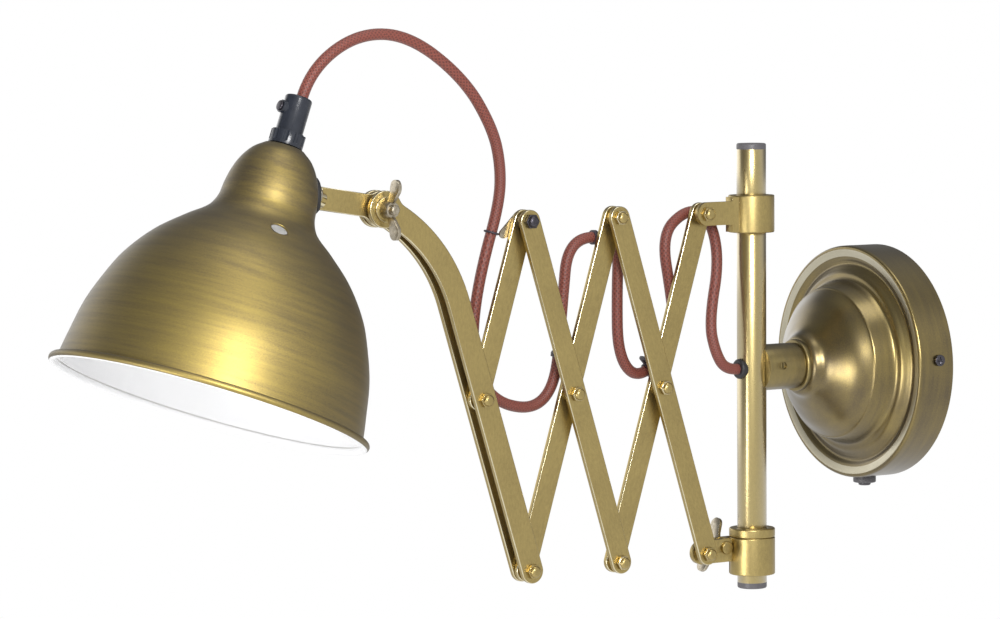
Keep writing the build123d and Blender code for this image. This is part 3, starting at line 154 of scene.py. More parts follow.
class ShaderGroups:
    """Node groups that more than one finish uses, each built once."""

    # How far a turned piece's radius, beside its height, moves the rub marks on
    RADIUS_SHARE = 0.35

    def __init__(self) -> None:
        """Builds the groups."""
        self.turned = self._turned_streaks()
        self.brushed = self._brushed_grain()
        self.speckle = self._speckle()

    @staticmethod
    def _start(name: str, inputs: list[tuple[str, str, float]], outputs: list[str]) -> bpy.types.NodeTree:
        """Makes an empty group with its sockets.

        Args:
            name: The group's name.
            inputs: Name, socket type and starting value of each input.
            outputs: Names of the value outputs.

        Returns:
            The node tree.
        """
        tree = bpy.data.node_groups.new(name, "ShaderNodeTree")
        for label, kind, value in inputs:
            socket = tree.interface.new_socket(label, in_out="INPUT", socket_type=kind)
            if kind == "NodeSocketFloat":
                socket.default_value = value
        for label in outputs:
            tree.interface.new_socket(label, in_out="OUTPUT", socket_type="NodeSocketFloat")
        return tree

    @staticmethod
    def _end_in_noise(
        tree: bpy.types.NodeTree, inside: bpy.types.Node, place: bpy.types.NodeSocket, roughness: float
    ) -> None:
        """Ends a group, whose input node is inside, with the noise that is its mask."""
        noise = tree.nodes.new("ShaderNodeTexNoise")
        noise.inputs["Scale"].default_value = 1.0
        noise.inputs["Roughness"].default_value = roughness
        tree.links.new(inside.outputs["Detail"], noise.inputs["Detail"])
        tree.links.new(place, noise.inputs["Vector"])
        tree.links.new(noise.outputs["Fac"], tree.nodes.new("NodeGroupOutput").inputs["Mask"])

    def _turned_streaks(self) -> bpy.types.NodeTree:
        """Rub marks that run round a turned piece's own Z axis."""
        sockets = [
            ("Vector", "NodeSocketVector", 0.0),
            ("Round", "NodeSocketFloat", 1.0),
            ("Along", "NodeSocketFloat", 300.0),
            ("Detail", "NodeSocketFloat", 6.0),
        ]
        tree = self._start("turned_streaks", sockets, ["Mask"])
        add, link = tree.nodes.new, tree.links.new
        inside = add("NodeGroupInput")
        split = add("ShaderNodeSeparateXYZ")
        link(inside.outputs["Vector"], split.inputs[0])
        flat = add("ShaderNodeCombineXYZ")
        link(split.outputs["X"], flat.inputs["X"])
        link(split.outputs["Y"], flat.inputs["Y"])
        radius = maths(add, "LENGTH", vector=True)
        link(flat.outputs[0], radius.inputs[0])
        unit = maths(add, "NORMALIZE", vector=True)
        link(flat.outputs[0], unit.inputs[0])
        spread = maths(add, "SCALE", vector=True)
        link(unit.outputs[0], spread.inputs[0])
        link(inside.outputs["Round"], spread.inputs["Scale"])
        station = maths(add, "MULTIPLY_ADD")
        station.inputs[1].default_value = self.RADIUS_SHARE
        link(radius.outputs["Value"], station.inputs[0])
        link(split.outputs["Z"], station.inputs[2])
        steps = maths(add, "MULTIPLY")
        link(station.outputs[0], steps.inputs[0])
        link(inside.outputs["Along"], steps.inputs[1])
        rise = add("ShaderNodeCombineXYZ")
        link(steps.outputs[0], rise.inputs["Z"])
        joined = maths(add, "ADD", vector=True)
        link(spread.outputs[0], joined.inputs[0])
        link(rise.outputs[0], joined.inputs[1])
        self._end_in_noise(tree, inside, joined.outputs[0], roughness=0.62)
        return tree

    def _brushed_grain(self) -> bpy.types.NodeTree:
        """Fine marks drawn out along local Z."""
        sockets = [
            ("Vector", "NodeSocketVector", 0.0),
            ("Round", "NodeSocketFloat", 500.0),
            ("Along", "NodeSocketFloat", 40.0),
            ("Detail", "NodeSocketFloat", 5.0),
        ]
        tree = self._start("brushed_grain", sockets, ["Mask"])
        add, link = tree.nodes.new, tree.links.new
        inside = add("NodeGroupInput")
        split = add("ShaderNodeSeparateXYZ")
        link(inside.outputs["Vector"], split.inputs[0])
        joined = add("ShaderNodeCombineXYZ")
        for axis, density in (("X", "Round"), ("Y", "Round"), ("Z", "Along")):
            scaled = maths(add, "MULTIPLY")
            link(split.outputs[axis], scaled.inputs[0])
            link(inside.outputs[density], scaled.inputs[1])
            link(scaled.outputs[0], joined.inputs[axis])
        self._end_in_noise(tree, inside, joined.outputs[0], roughness=0.6)
        return tree

    def _speckle(self) -> bpy.types.NodeTree:
        """Small grains in the lacquer, and broad clouds of patina."""
        sockets = [
            ("Vector", "NodeSocketVector", 0.0),
            ("Grains", "NodeSocketFloat", 1400.0),
            ("Clouds", "NodeSocketFloat", 22.0),
        ]
        tree = self._start("lacquer_speckle", sockets, ["Grain", "Cloud"])
        add, link = tree.nodes.new, tree.links.new
        inside, outside = add("NodeGroupInput"), add("NodeGroupOutput")
        for density, result, detail in (("Grains", "Grain", 2.0), ("Clouds", "Cloud", 3.0)):
            noise = add("ShaderNodeTexNoise")
            noise.inputs["Detail"].default_value = detail
            link(inside.outputs["Vector"], noise.inputs["Vector"])
            link(inside.outputs[density], noise.inputs["Scale"])
            link(noise.outputs["Fac"], outside.inputs[result])
        return tree


# ---- Finishes ----
class NewMaterial:
    """A material in the making, with the nodes that every finish shares."""

    def __init__(self, name: str, groups: ShaderGroups) -> None:
        """Starts a material that may use the shared node groups."""
        self.material = bpy.data.materials.new(name)
        self.material.use_nodes = True
        self.groups = groups
        tree = self.material.node_tree
        self.add, self.link = tree.nodes.new, tree.links.new
        self.shader = tree.nodes["Principled BSDF"]

    def speckle(self, where: bpy.types.NodeSocket, grains: float, clouds: float = 22.0) -> bpy.types.Node:
        """Adds the speckle group, with the densities of its grains and clouds."""
        speckle = self.add("ShaderNodeGroup")
        speckle.node_tree = self.groups.speckle
        speckle.inputs["Grains"].default_value = grains
        speckle.inputs["Clouds"].default_value = clouds
        self.link(where, speckle.inputs["Vector"])
        return speckle

    def tint(self, first: Colour, second: Colour, share: bpy.types.NodeSocket) -> bpy.types.Node:
        """Adds a mix of two colours, where a share of 1 gives the second."""
        tint = self.add("ShaderNodeMix")
        tint.data_type = "RGBA"
        tint.inputs[COLOUR_A].default_value = (*first, 1.0)
        tint.inputs[COLOUR_B].default_value = (*second, 1.0)
        self.link(share, tint.inputs["Factor"])
        return tint

    def dent(self, height: bpy.types.NodeSocket, strength: float, distance: float) -> None:
        """Lets a height bump the surface."""
        dents = self.add("ShaderNodeBump")
        dents.inputs["Strength"].default_value = strength
        dents.inputs["Distance"].default_value = distance
        self.link(height, dents.inputs["Height"])
        self.link(dents.outputs[0], self.shader.inputs["Normal"])


@dataclass(frozen=True)
class RubbedMetal:
    """A metal whose dark patina is rubbed back to a brighter colour along its grain. At its grazing edges its
    colour turns to a painted grazing colour: painted shade where that colour is darker, painted reflection
    where it is paler.
    """

    name: str
    bright: Colour
    dark: Colour
    roughness: tuple[float, float]
    grain: Grain = Grain.BRUSHED
    place: Matrix = field(default_factory=lambda: Matrix.Identity(4))
    round_density: float = 500.0
    along_density: float = 40.0
    rub_range: tuple[float, float] = (0.38, 0.62)
    cloud_share: float = 0.35
    cloud_density: float = 22.0
    grain_density: float = 2200.0
    grain_share: float = 0.3
    # Colour painted towards the grazing edges: darker for painted shade, paler for painted reflection
    grazing_shade_and_reflection: Colour | None = None
    lacquer: float = 0.25
    bump: float = 0.05
    dent_depth: float = 0.0004
    facing_blend: float = 0.42

    def material(self, groups: ShaderGroups) -> bpy.types.Material:
        """Builds the finish's shader with the shared node groups."""
        making = NewMaterial(self.name, groups)
        add, link, shader = making.add, making.link, making.shader
        where = add("ShaderNodeTexCoord")
        turn = add("ShaderNodeMapping")
        turn.vector_type = "TEXTURE"
        turn.inputs["Location"].default_value = self.place.to_translation()
        turn.inputs["Rotation"].default_value = self.place.to_euler("XYZ")
        link(where.outputs["Object"], turn.inputs["Vector"])
        streaks = add("ShaderNodeGroup")
        streaks.node_tree = groups.turned if self.grain is Grain.TURNED else groups.brushed
        streaks.inputs["Round"].default_value = self.round_density
        streaks.inputs["Along"].default_value = self.along_density
        link(turn.outputs[0], streaks.inputs["Vector"])
        speckle = making.speckle(turn.outputs[0], self.grain_density, self.cloud_density)
        clouded = add("ShaderNodeMix")
        clouded.data_type = "FLOAT"
        clouded.inputs["Factor"].default_value = self.cloud_share
        link(streaks.outputs["Mask"], clouded.inputs[FLOAT_A])
        link(speckle.outputs["Cloud"], clouded.inputs[FLOAT_B])
        grained = maths(add, "MULTIPLY_ADD")
        grained.inputs[1].default_value = self.grain_share
        link(speckle.outputs["Grain"], grained.inputs[0])
        link(clouded.outputs[0], grained.inputs[2])
        rubbed = add("ShaderNodeMapRange")
        rubbed.inputs["From Min"].default_value = self.rub_range[0] + self.grain_share / 2
        rubbed.inputs["From Max"].default_value = self.rub_range[1] + self.grain_share / 2
        link(grained.outputs[0], rubbed.inputs["Value"])
        tint = making.tint(self.dark, self.bright, rubbed.outputs[0])
        # Painted shade and painted reflection: the base colour turns to the grazing colour where the surface
        # turns away from the view
        facing = add("ShaderNodeLayerWeight")
        facing.inputs["Blend"].default_value = self.facing_blend
        grazing_painted = making.tint(self.dark, self.grazing_shade_and_reflection or self.dark, facing.outputs["Facing"])
        link(tint.outputs[MIXED_COLOUR], grazing_painted.inputs[COLOUR_A])
        link(grazing_painted.outputs[MIXED_COLOUR], shader.inputs["Base Color"])
        gloss = add("ShaderNodeMapRange")
        gloss.inputs["To Min"].default_value = self.roughness[1]
        gloss.inputs["To Max"].default_value = self.roughness[0]
        link(rubbed.outputs[0], gloss.inputs["Value"])
        link(gloss.outputs[0], shader.inputs["Roughness"])
        making.dent(grained.outputs[0], self.bump, self.dent_depth)
        shader.inputs["Metallic"].default_value = 1.0
        shader.inputs["Coat Weight"].default_value = self.lacquer
        shader.inputs["Coat Roughness"].default_value = self.roughness[1]
        return making.material


@dataclass(frozen=True)
class SmoothCoat:
    """A moulded, painted or rubber surface with a faint mottle."""

    name: str
    colour: Colour
    second: Colour
    roughness: float
    mottle: float = 260.0
    bump: float = 0.05
    dent_depth: float = 0.0003
    grains_per_cloud: float = 6.0

    def material(self, groups: ShaderGroups) -> bpy.types.Material:
        """Builds the finish's shader with the shared node groups."""
        making = NewMaterial(self.name, groups)
        add, link, shader = making.add, making.link, making.shader
        where = add("ShaderNodeTexCoord")
        speckle = making.speckle(where.outputs["Object"], self.mottle * self.grains_per_cloud, self.mottle)
        tint = making.tint(self.colour, self.second, speckle.outputs["Cloud"])
        link(tint.outputs[MIXED_COLOUR], shader.inputs["Base Color"])
        making.dent(speckle.outputs["Grain"], self.bump, self.dent_depth)
        shader.inputs["Roughness"].default_value = self.roughness
        return making.material


@dataclass(frozen=True)
class BraidedTextile:
    """The red-brown braid of the cord, whose threads cross round it."""

    name: str
    length: float
    thread: Colour = (0.195, 0.046, 0.030)
    shadow: Colour = (0.066, 0.014, 0.010)
    threads_round: float = 8.0
    pitch: float = 0.0021
    gap_level: float = -0.6
    lint_density: float = 2600.0
    lint_share: float = 0.5
    lint_base: float = 0.2
    full_thread: float = 0.45
    least_thread: float = 0.2
    relief: float = 0.35
    relief_depth: float = 0.0003
    roughness: float = 0.5
    sheen: float = 0.12

    def material(self, groups: ShaderGroups) -> bpy.types.Material:
        """Builds the braid from two waves that cross on the tube's own UV map."""
        making = NewMaterial(self.name, groups)
        add, link, shader = making.add, making.link, making.shader
        where = add("ShaderNodeUVMap")
        split = add("ShaderNodeSeparateXYZ")
        link(where.outputs[0], split.inputs[0])
        along = maths(add, "MULTIPLY")
        along.inputs[1].default_value = 2 * pi * self.length / self.pitch
        link(split.outputs["X"], along.inputs[0])
        around = maths(add, "MULTIPLY")
        around.inputs[1].default_value = 2 * pi * self.threads_round
        link(split.outputs["Y"], around.inputs[0])
        waves = []
        for blend in ("ADD", "SUBTRACT"):
            phase = maths(add, blend)
            link(along.outputs[0], phase.inputs[0])
            link(around.outputs[0], phase.inputs[1])
            wave = maths(add, "SINE")
            link(phase.outputs[0], wave.inputs[0])
            waves.append(wave)
        crossed = maths(add, "MAXIMUM")
        link(waves[0].outputs[0], crossed.inputs[0])
        link(waves[1].outputs[0], crossed.inputs[1])
        weave = add("ShaderNodeMapRange")
        weave.inputs["From Min"].default_value = self.gap_level
        weave.inputs["From Max"].default_value = 1.0
        link(crossed.outputs[0], weave.inputs["Value"])
        lint = add("ShaderNodeTexCoord")
        speckle = making.speckle(lint.outputs["Object"], self.lint_density)
        worn = maths(add, "MULTIPLY_ADD")
        worn.inputs[1].default_value = self.lint_share
        worn.inputs[2].default_value = self.lint_base
        link(speckle.outputs["Grain"], worn.inputs[0])
        share = maths(add, "MULTIPLY")
        share.use_clamp = True
        link(weave.outputs[0], share.inputs[0])
        link(worn.outputs[0], share.inputs[1])
        scaled = add("ShaderNodeMapRange")
        scaled.inputs["From Max"].default_value = self.full_thread
        scaled.inputs["To Min"].default_value = self.least_thread
        link(share.outputs[0], scaled.inputs["Value"])
        tint = making.tint(self.shadow, self.thread, scaled.outputs[0])
        link(tint.outputs[MIXED_COLOUR], shader.inputs["Base Color"])
        making.dent(scaled.outputs[0], self.relief, self.relief_depth)
        shader.inputs["Roughness"].default_value = self.roughness
        shader.inputs["Sheen Weight"].default_value = self.sheen
        return making.material


class Finishes:
    """Every finish of the lamp, each made a material when a piece first asks for it."""

    def __init__(self, groups: ShaderGroups) -> None:
        """Keeps the groups and lists the finishes."""
        self.groups = groups
        self.made: dict[str, bpy.types.Material] = {}
        # Towards their grazing edges the shade, plate and stub turn greyer: painted shade
        gold, umber, painted_edge_shade = (0.48, 0.36, 0.085), (0.145, 0.108, 0.058), (0.135, 0.118, 0.09)
        self.shade = RubbedMetal(
            "turned_bronze_shade", gold, umber, (0.46, 0.55), Grain.TURNED, SHADE_PLACE, 1.3, 420.0,
            rub_range=(0.27, 0.70), cloud_share=0.5, cloud_density=13.0, grain_share=0.4, grazing_shade_and_reflection=painted_edge_shade,
            lacquer=0.5,
        )
        self.plate = RubbedMetal(
            "turned_bronze_plate", (0.40, 0.30, 0.085), (0.13, 0.10, 0.055), (0.26, 0.34), Grain.TURNED,
            PLATE_PLACE, 1.6, 320.0, rub_range=(0.30, 0.80), cloud_share=0.6, cloud_density=24.0,
            grain_share=0.4, grazing_shade_and_reflection=(0.13, 0.11, 0.08), lacquer=0.5,
        )
        # The lip's bare band is wear; its paler grazing colour is a painted reflection
        self.lip = RubbedMetal(
            "bare_plate_lip", (0.74, 0.69, 0.54), (0.40, 0.35, 0.22), (0.34, 0.44), Grain.TURNED, PLATE_PLACE,
            1.2, 200.0, rub_range=(0.2, 0.7), grazing_shade_and_reflection=(0.5, 0.47, 0.38),
        )
        self.stub = RubbedMetal(
            "bronze_stub", (0.40, 0.31, 0.11), (0.20, 0.155, 0.075), (0.3, 0.4), Grain.TURNED, PLATE_PLACE,
            1.6, 300.0, rub_range=(0.15, 0.75), grazing_shade_and_reflection=painted_edge_shade,
        )
        # The pole's pale grazing colour is a painted reflection of the studio
        self.pole = RubbedMetal(
            "brass_pole", (0.54, 0.43, 0.17), (0.40, 0.31, 0.13), (0.26, 0.33), Grain.BRUSHED, POLE_PLACE,
            900.0, 500.0, rub_range=(0.2, 0.7), grazing_shade_and_reflection=(0.62, 0.58, 0.50), lacquer=0.6,
        )
        self.rising = self._brass("satin_brass_rising", RISING_BARS)
        self.falling = self._brass("satin_brass_falling", FALLING_BARS)
        self.fittings = self._brass("satin_brass_fittings", Matrix.Identity(4))
        self.worn = RubbedMetal(
            "brass_worn_edge", (0.80, 0.73, 0.52), (0.50, 0.42, 0.24), (0.2, 0.3), rub_range=(0.3, 0.55),
        )
        self.nickel = RubbedMetal(
            "worn_nickel", (0.62, 0.57, 0.46), (0.34, 0.29, 0.21), (0.24, 0.36), round_density=700.0,
            along_density=500.0,
        )
        self.steel = RubbedMetal(
            "zinc_steel", (0.42, 0.41, 0.40), (0.22, 0.21, 0.20), (0.28, 0.4), round_density=600.0,
            along_density=600.0,
        )
        self.dark_steel = RubbedMetal(
            "blackened_steel", (0.11, 0.105, 0.12), (0.05, 0.045, 0.055), (0.3, 0.45), round_density=900.0,
            along_density=900.0,
        )
        self.grip = SmoothCoat("grip_moulding", (0.010, 0.012, 0.018), (0.022, 0.026, 0.036), 0.24)
        self.plastic = SmoothCoat("dark_moulding", (0.050, 0.048, 0.055), (0.085, 0.08, 0.088), 0.38)
        self.cap = SmoothCoat("cap_moulding", (0.075, 0.07, 0.078), (0.12, 0.115, 0.12), 0.42)
        self.rubber = SmoothCoat("black_rubber", (0.010, 0.010, 0.011), (0.02, 0.019, 0.021), 0.45)
        self.tie = SmoothCoat("black_tie", (0.02, 0.016, 0.024), (0.05, 0.04, 0.055), 0.45)
        self.enamel = SmoothCoat("white_enamel", (0.92, 0.92, 0.92), (0.90, 0.90, 0.91), 0.42, 120.0, 0.03)
        self.porcelain = SmoothCoat("holder_ceramic", (0.78, 0.77, 0.74), (0.72, 0.71, 0.68), 0.25, 180.0)

    @staticmethod
    def _brass(name: str, place: Matrix) -> RubbedMetal:
        """The bars' satin brass, with its grain turned to one direction.

        Args:
            name: The finish's name.
            place: Its grain runs along this matrix's Z.

        Returns:
            The finish.
        """
        return RubbedMetal(
            name, (0.53, 0.41, 0.155), (0.33, 0.25, 0.10), (0.32, 0.42), Grain.BRUSHED, place, 900.0, 380.0,
            rub_range=(0.2, 0.7), cloud_share=0.35, cloud_density=60.0, grain_share=0.45,
        )

    def of(self, finish: RubbedMetal | SmoothCoat | BraidedTextile) -> bpy.types.Material:
        """The material of a finish, built at its first use."""
        if finish.name not in self.made:
            self.made[finish.name] = finish.material(self.groups)
        return self.made[finish.name]


# ---- Mesh helpers ----
def flowing(points: list[tuple[float, float]], steps: int = 6) -> list[Vector]:
    """Points along one smooth curve through a profile's stations.

    Args:
        points: Radius and height of each station, in millimetres.
        steps: Pieces between one station and the next.

    Returns:
        The curve's points as (radius, 0, height), in millimetres.
    """
    stations = [Vector((r, 0.0, h)) for r, h in points]
    ends = [stations[0] * 2 - stations[1], *stations, stations[-1] * 2 - stations[-2]]
    curve: list[Vector] = []
    for before, a, b, after in zip(ends, ends[1:], ends[2:], ends[3:]):
        run = (b - a).length
        out = (b - before).normalized() * run / 3
        into = (after - a).normalized() * run / 3
        curve += interpolate_bezier(a, a + out, b - into, b, steps + 1)[:-1]
    return [*curve, stations[-1]]


def spun(profile: list[Vector], turns: int, thickness: float = 0.0) -> bmesh.types.BMesh:
    """Spins a profile round its own Z, as a skin or as a sheet with a thickness.

    Args:
        profile: Points (radius, 0, height) in millimetres.
        turns: Steps of the spin.
        thickness: The sheet's thickness in millimetres, laid inside the profile; 0 for a skin.

    Returns:
        The mesh, with its normals outwards.
    """
    mesh = bmesh.new()
    corners = [mesh.verts.new(p * MM) for p in profile]
    edges = [mesh.edges.new(pair) for pair in zip(corners, corners[1:])]
    bmesh.ops.spin(
        mesh, geom=[*corners, *edges], cent=(0, 0, 0), axis=(0, 0, 1), angle=2 * pi, steps=turns,
        use_merge=True,
    )
    bmesh.ops.remove_doubles(mesh, verts=mesh.verts, dist=WELD)
    bmesh.ops.recalc_face_normals(mesh, faces=mesh.faces)
    outward = 0.0
    for face in mesh.faces:
        middle = face.calc_center_median()
        outward += face.normal.dot(Vector((middle.x, middle.y, 0)).normalized()) + face.normal.z
    if outward < 0:
        bmesh.ops.reverse_faces(mesh, faces=list(mesh.faces))
    if thickness:
        bmesh.ops.solidify(mesh, geom=list(mesh.faces), thickness=thickness * MM)
    return mesh


def object_of(name: str, mesh: bmesh.types.BMesh, materials: list[bpy.types.Material]) -> bpy.types.Object:
    """Makes an object at the origin from a finished mesh.

    Args:
        name: The piece's name.
        mesh: Its mesh, which is freed.
        materials: The materials in the order of its face indices.

    Returns:
        The object.
    """
    data = bpy.data.meshes.new(name)
    mesh.to_mesh(data)
    mesh.free()
    for material in materials:
        data.materials.append(material)
    data.shade_smooth()
    data.set_sharp_from_angle(angle=SMOOTH_ANGLE)
    piece = bpy.data.objects.new(name, data)
    bpy.context.scene.collection.objects.link(piece)
    return piece


def drilled(piece: bpy.types.Object, holes: list[tuple[Vector, Vector, float, float]]) -> None:
    """Cuts round holes through a piece.

    Args:
        piece: The object to cut, whose mesh is changed.
        holes: Middle, direction, radius and length of each hole, in millimetres.
    """
    for middle, way, radius, length in holes:
        cutter = bmesh.new()
        bmesh.ops.create_cone(
            cutter, cap_ends=True, segments=48, radius1=radius * MM, radius2=radius * MM, depth=length * MM
        )
        turn = way.to_track_quat("Z", "Y").to_matrix().to_4x4()
        bmesh.ops.transform(cutter, matrix=Matrix.Translation(middle * MM) @ turn, verts=cutter.verts)
        tool = object_of("hole_cutter", cutter, [])
        cut = piece.modifiers.new("hole", "BOOLEAN")
        cut.object = tool
        cut.operation = "DIFFERENCE"
        cut.solver = "EXACT"
        graph = bpy.context.evaluated_depsgraph_get()
        result = bpy.data.meshes.new_from_object(piece.evaluated_get(graph))
        piece.modifiers.remove(cut)
        old, piece.data = piece.data, result
        bpy.data.meshes.remove(old)
        bpy.data.objects.remove(tool)


@dataclass
class Workshop:
    """What every sub-assembly needs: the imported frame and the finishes."""

    frame: dict
    finishes: Finishes

    def report(self, piece: bpy.types.Object) -> None:
        """Writes one piece's name and size to the log."""
        log.info("%s: %d faces", piece.name, len(piece.data.polygons))

    def body_of(self, node: str) -> str:
        """The CAD body that carries a node."""
        return self.frame["nodes"][node]["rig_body"]

    def settle(self, piece: bpy.types.Object, slot: Slot, *nodes: str) -> None:
        """Lets a piece ride where its nodes ride, in their stead.

        Args:
            piece: The finished piece.
            slot: The record's slot for its finish; not used.
            nodes: The CAD nodes that it stands for; the first names the body.
        """
        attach(piece, self.body_of(nodes[0]))
        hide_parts(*nodes)
        self.report(piece)

    def paint(self, node: str, finish: RubbedMetal | SmoothCoat) -> None:
        """Gives a CAD node that stays its finish."""
        data = self.frame["nodes"][node].data
        data.materials.clear()
        data.materials.append(self.finishes.of(finish))

    def dress(
        self,
        node: str,
        slot: Slot,
        finish: RubbedMetal | SmoothCoat,
        soften: float = 0.25,
        edge: RubbedMetal | None = None,
    ) -> bpy.types.Object:
        """Makes a smooth copy of a CAD node with softened, worn edges.

        Args:
            node: The CAD node.
            slot: The record's slot for its finish; passed on but not used.
            finish: The finish of its faces.
            soften: Width of the rounding on sharp edges, in millimetres; 0 for none.
            edge: The finish of the roundings, where it differs.

        Returns:
            The new piece.
        """
        mesh = bmesh.new()
        mesh.from_mesh(self.frame["nodes"][node].data)
        bmesh.ops.remove_doubles(mesh, verts=mesh.verts, dist=CAD_WELD)
        bmesh.ops.dissolve_limit(mesh, angle_limit=FLAT_ANGLE, verts=mesh.verts, edges=mesh.edges)
        for face in mesh.faces:
            face.material_index = 0
        if soften:
            sharp = [e for e in mesh.edges if len(e.link_faces) == 2 and e.calc_face_angle() > BEVEL_ANGLE]
            bmesh.ops.bevel(
                mesh, geom=sharp, offset=soften * MM, offset_type="OFFSET", segments=2, profile=0.5,
                affect="EDGES", material=-1 if edge is None else 1, clamp_overlap=True,
            )
        elif edge is not None:
            for face in mesh.faces:
                if WORN_SLOPE[0] < abs(face.normal.x) < WORN_SLOPE[1]:
                    face.material_index = 1
        materials = [self.finishes.of(finish)]
        if edge is not None:
            materials.append(self.finishes.of(edge))
        piece = object_of(f"{node}_dressed", mesh, materials)
        self.settle(piece, slot, node)
        return piece


# ---- Studio ----
@dataclass(frozen=True)
class Panel:
    """A pale panel of the studio that only the metals' reflections show."""

    towards: Point
    level: float
    inner: float
    outer: float
    squash: float = 1.0


@dataclass
class Studio:
    """Camera, floor, world and lamps."""

    azimuth: float = radians(57.0)
    elevation: float = radians(4.30)
    roll: float = radians(-0.40)
    stand: Point = (1.73813, -1.37923, 0.19482)
    lens: float = 144.0
    sensor: float = 36.0
    floor_height: float = -0.75
    floor_reach: float = 20.0
    floor_paint: float = 0.86
    floor_gleam: float = 0.45
    middle: Point = (0.0, -0.25, 0.03)
    lit_room: float = 0.72
    dim_room: float = 0.20
    panels: tuple[Panel, ...] = (
        Panel((-0.985, -0.17, 0.0), 1.5, 0.90, 0.66, 1.7),
        Panel((0.84, 0.54, 0.0), 0.50, 0.95, 0.60),
        Panel((0.80, -0.58, 0.12), 0.45, 0.96, 0.78, 0.6),
        Panel((0.3, 0.2, 1.0), 0.26, 0.9, 0.4),
    )

    def camera_axes(self) -> tuple[Vector, Vector, Vector]:
        """The camera's right, up and backward directions."""
        a, e, r = self.azimuth, self.elevation, self.roll
        forward = Vector((-sin(a) * cos(e), cos(a) * cos(e), -sin(e)))
        level = Vector((cos(a), sin(a), 0.0))
        above = level.cross(forward)
        return cos(r) * level + sin(r) * above, -sin(r) * level + cos(r) * above, -forward

    def place_camera(self) -> None:
        """Puts the camera at the photograph's viewing angle."""
        data = bpy.data.cameras.new("photograph_view")
        data.lens = self.lens
        data.sensor_fit = "HORIZONTAL"
        data.sensor_width = self.sensor
        data.clip_end = 60.0
        camera = bpy.data.objects.new("photograph_view", data)
        turn = Matrix(self.camera_axes()).transposed().to_4x4()
        camera.matrix_world = Matrix.Translation(self.stand) @ turn
        bpy.context.scene.collection.objects.link(camera)
        bpy.context.scene.camera = camera

    @staticmethod
    def _seen_by_camera(tree: bpy.types.NodeTree) -> tuple[bpy.types.Node, bpy.types.Node]:
        """Adds the light path, and a node that is 1 for what the camera sees straight or through glass."""
        path = tree.nodes.new("ShaderNodeLightPath")
        seen = tree.nodes.new("ShaderNodeMath")
        seen.operation = "MAXIMUM"
        tree.links.new(path.outputs["Is Camera Ray"], seen.inputs[0])
        tree.links.new(path.outputs["Is Transmission Ray"], seen.inputs[1])
        return path, seen

    def lay_floor(self) -> None:
        """Lays a plain floor: white to the camera, dimmer in the metals, painted to all other rays."""
        mesh = bmesh.new()
        bmesh.ops.create_grid(mesh, x_segments=1, y_segments=1, size=self.floor_reach)
        bmesh.ops.translate(mesh, vec=(0, 0, self.floor_height), verts=mesh.verts)
        material = bpy.data.materials.new("pale_floor")
        material.use_nodes = True
        tree = material.node_tree
        tree.nodes.clear()
        add, link = tree.nodes.new, tree.links.new
        path, seen = self._seen_by_camera(tree)
        shown = maths(add, "MULTIPLY_ADD")
        shown.use_clamp = True
        shown.inputs[1].default_value = self.floor_gleam
        link(path.outputs["Is Glossy Ray"], shown.inputs[0])
        link(seen.outputs[0], shown.inputs[2])
        paint = add("ShaderNodeBsdfDiffuse")
        paint.inputs["Color"].default_value = (*[self.floor_paint] * 3, 1)
        glow = add("ShaderNodeEmission")
        glow.inputs["Color"].default_value = (1, 1, 1, 1)
        mixed = add("ShaderNodeMixShader")
        link(shown.outputs[0], mixed.inputs[0])
        link(paint.outputs[0], mixed.inputs[1])
        link(glow.outputs[0], mixed.inputs[2])
        output = add("ShaderNodeOutputMaterial")
        link(mixed.outputs[0], output.inputs["Surface"])
        object_of("floor", mesh, [material])

    def light_world(self) -> None:
        """White where the camera looks, soft grey around, and pale panels where the metals reflect them."""
        world = bpy.data.worlds.new("studio")
        bpy.context.scene.world = world
        world.use_nodes = True
        tree = world.node_tree
        tree.nodes.clear()
        add, link = tree.nodes.new, tree.links.new
        where = add("ShaderNodeTexCoord")
        reflected = add("ShaderNodeValue")
        reflected.outputs[0].default_value = self.dim_room
        for panel in self.panels:
            flattened = maths(add, "MULTIPLY", vector=True)
            flattened.inputs[1].default_value = (1.0, 1.0, panel.squash)
            link(where.outputs["Generated"], flattened.inputs[0])
            unit = maths(add, "NORMALIZE", vector=True)
            link(flattened.outputs[0], unit.inputs[0])
            dot = maths(add, "DOT_PRODUCT", vector=True)
            dot.inputs[1].default_value = Vector(panel.towards).normalized()
            link(unit.outputs[0], dot.inputs[0])
            glow = add("ShaderNodeMapRange")
            glow.interpolation_type = "SMOOTHSTEP"
            glow.inputs["From Min"].default_value = panel.outer
            glow.inputs["From Max"].default_value = panel.inner
            glow.inputs["To Max"].default_value = panel.level
            link(dot.outputs["Value"], glow.inputs["Value"])
            brighter = add("ShaderNodeMath")
            link(reflected.outputs[0], brighter.inputs[0])
            link(glow.outputs[0], brighter.inputs[1])
            reflected = brighter
        path, seen = self._seen_by_camera(tree)
        room = add("ShaderNodeMix")
        room.data_type = "FLOAT"
        room.inputs[FLOAT_A].default_value = self.lit_room
        link(path.outputs["Is Glossy Ray"], room.inputs["Factor"])
        link(reflected.outputs[0], room.inputs[FLOAT_B])
        level = add("ShaderNodeMix")
        level.data_type = "FLOAT"
        level.inputs[FLOAT_B].default_value = 1.0
        link(seen.outputs[0], level.inputs["Factor"])
        link(room.outputs[0], level.inputs[FLOAT_A])
        sky = add("ShaderNodeBackground")
        sky.inputs["Color"].default_value = (1, 1, 1, 1)
        link(level.outputs[0], sky.inputs["Strength"])
        output = add("ShaderNodeOutputWorld")
        link(sky.outputs[0], output.inputs["Surface"])

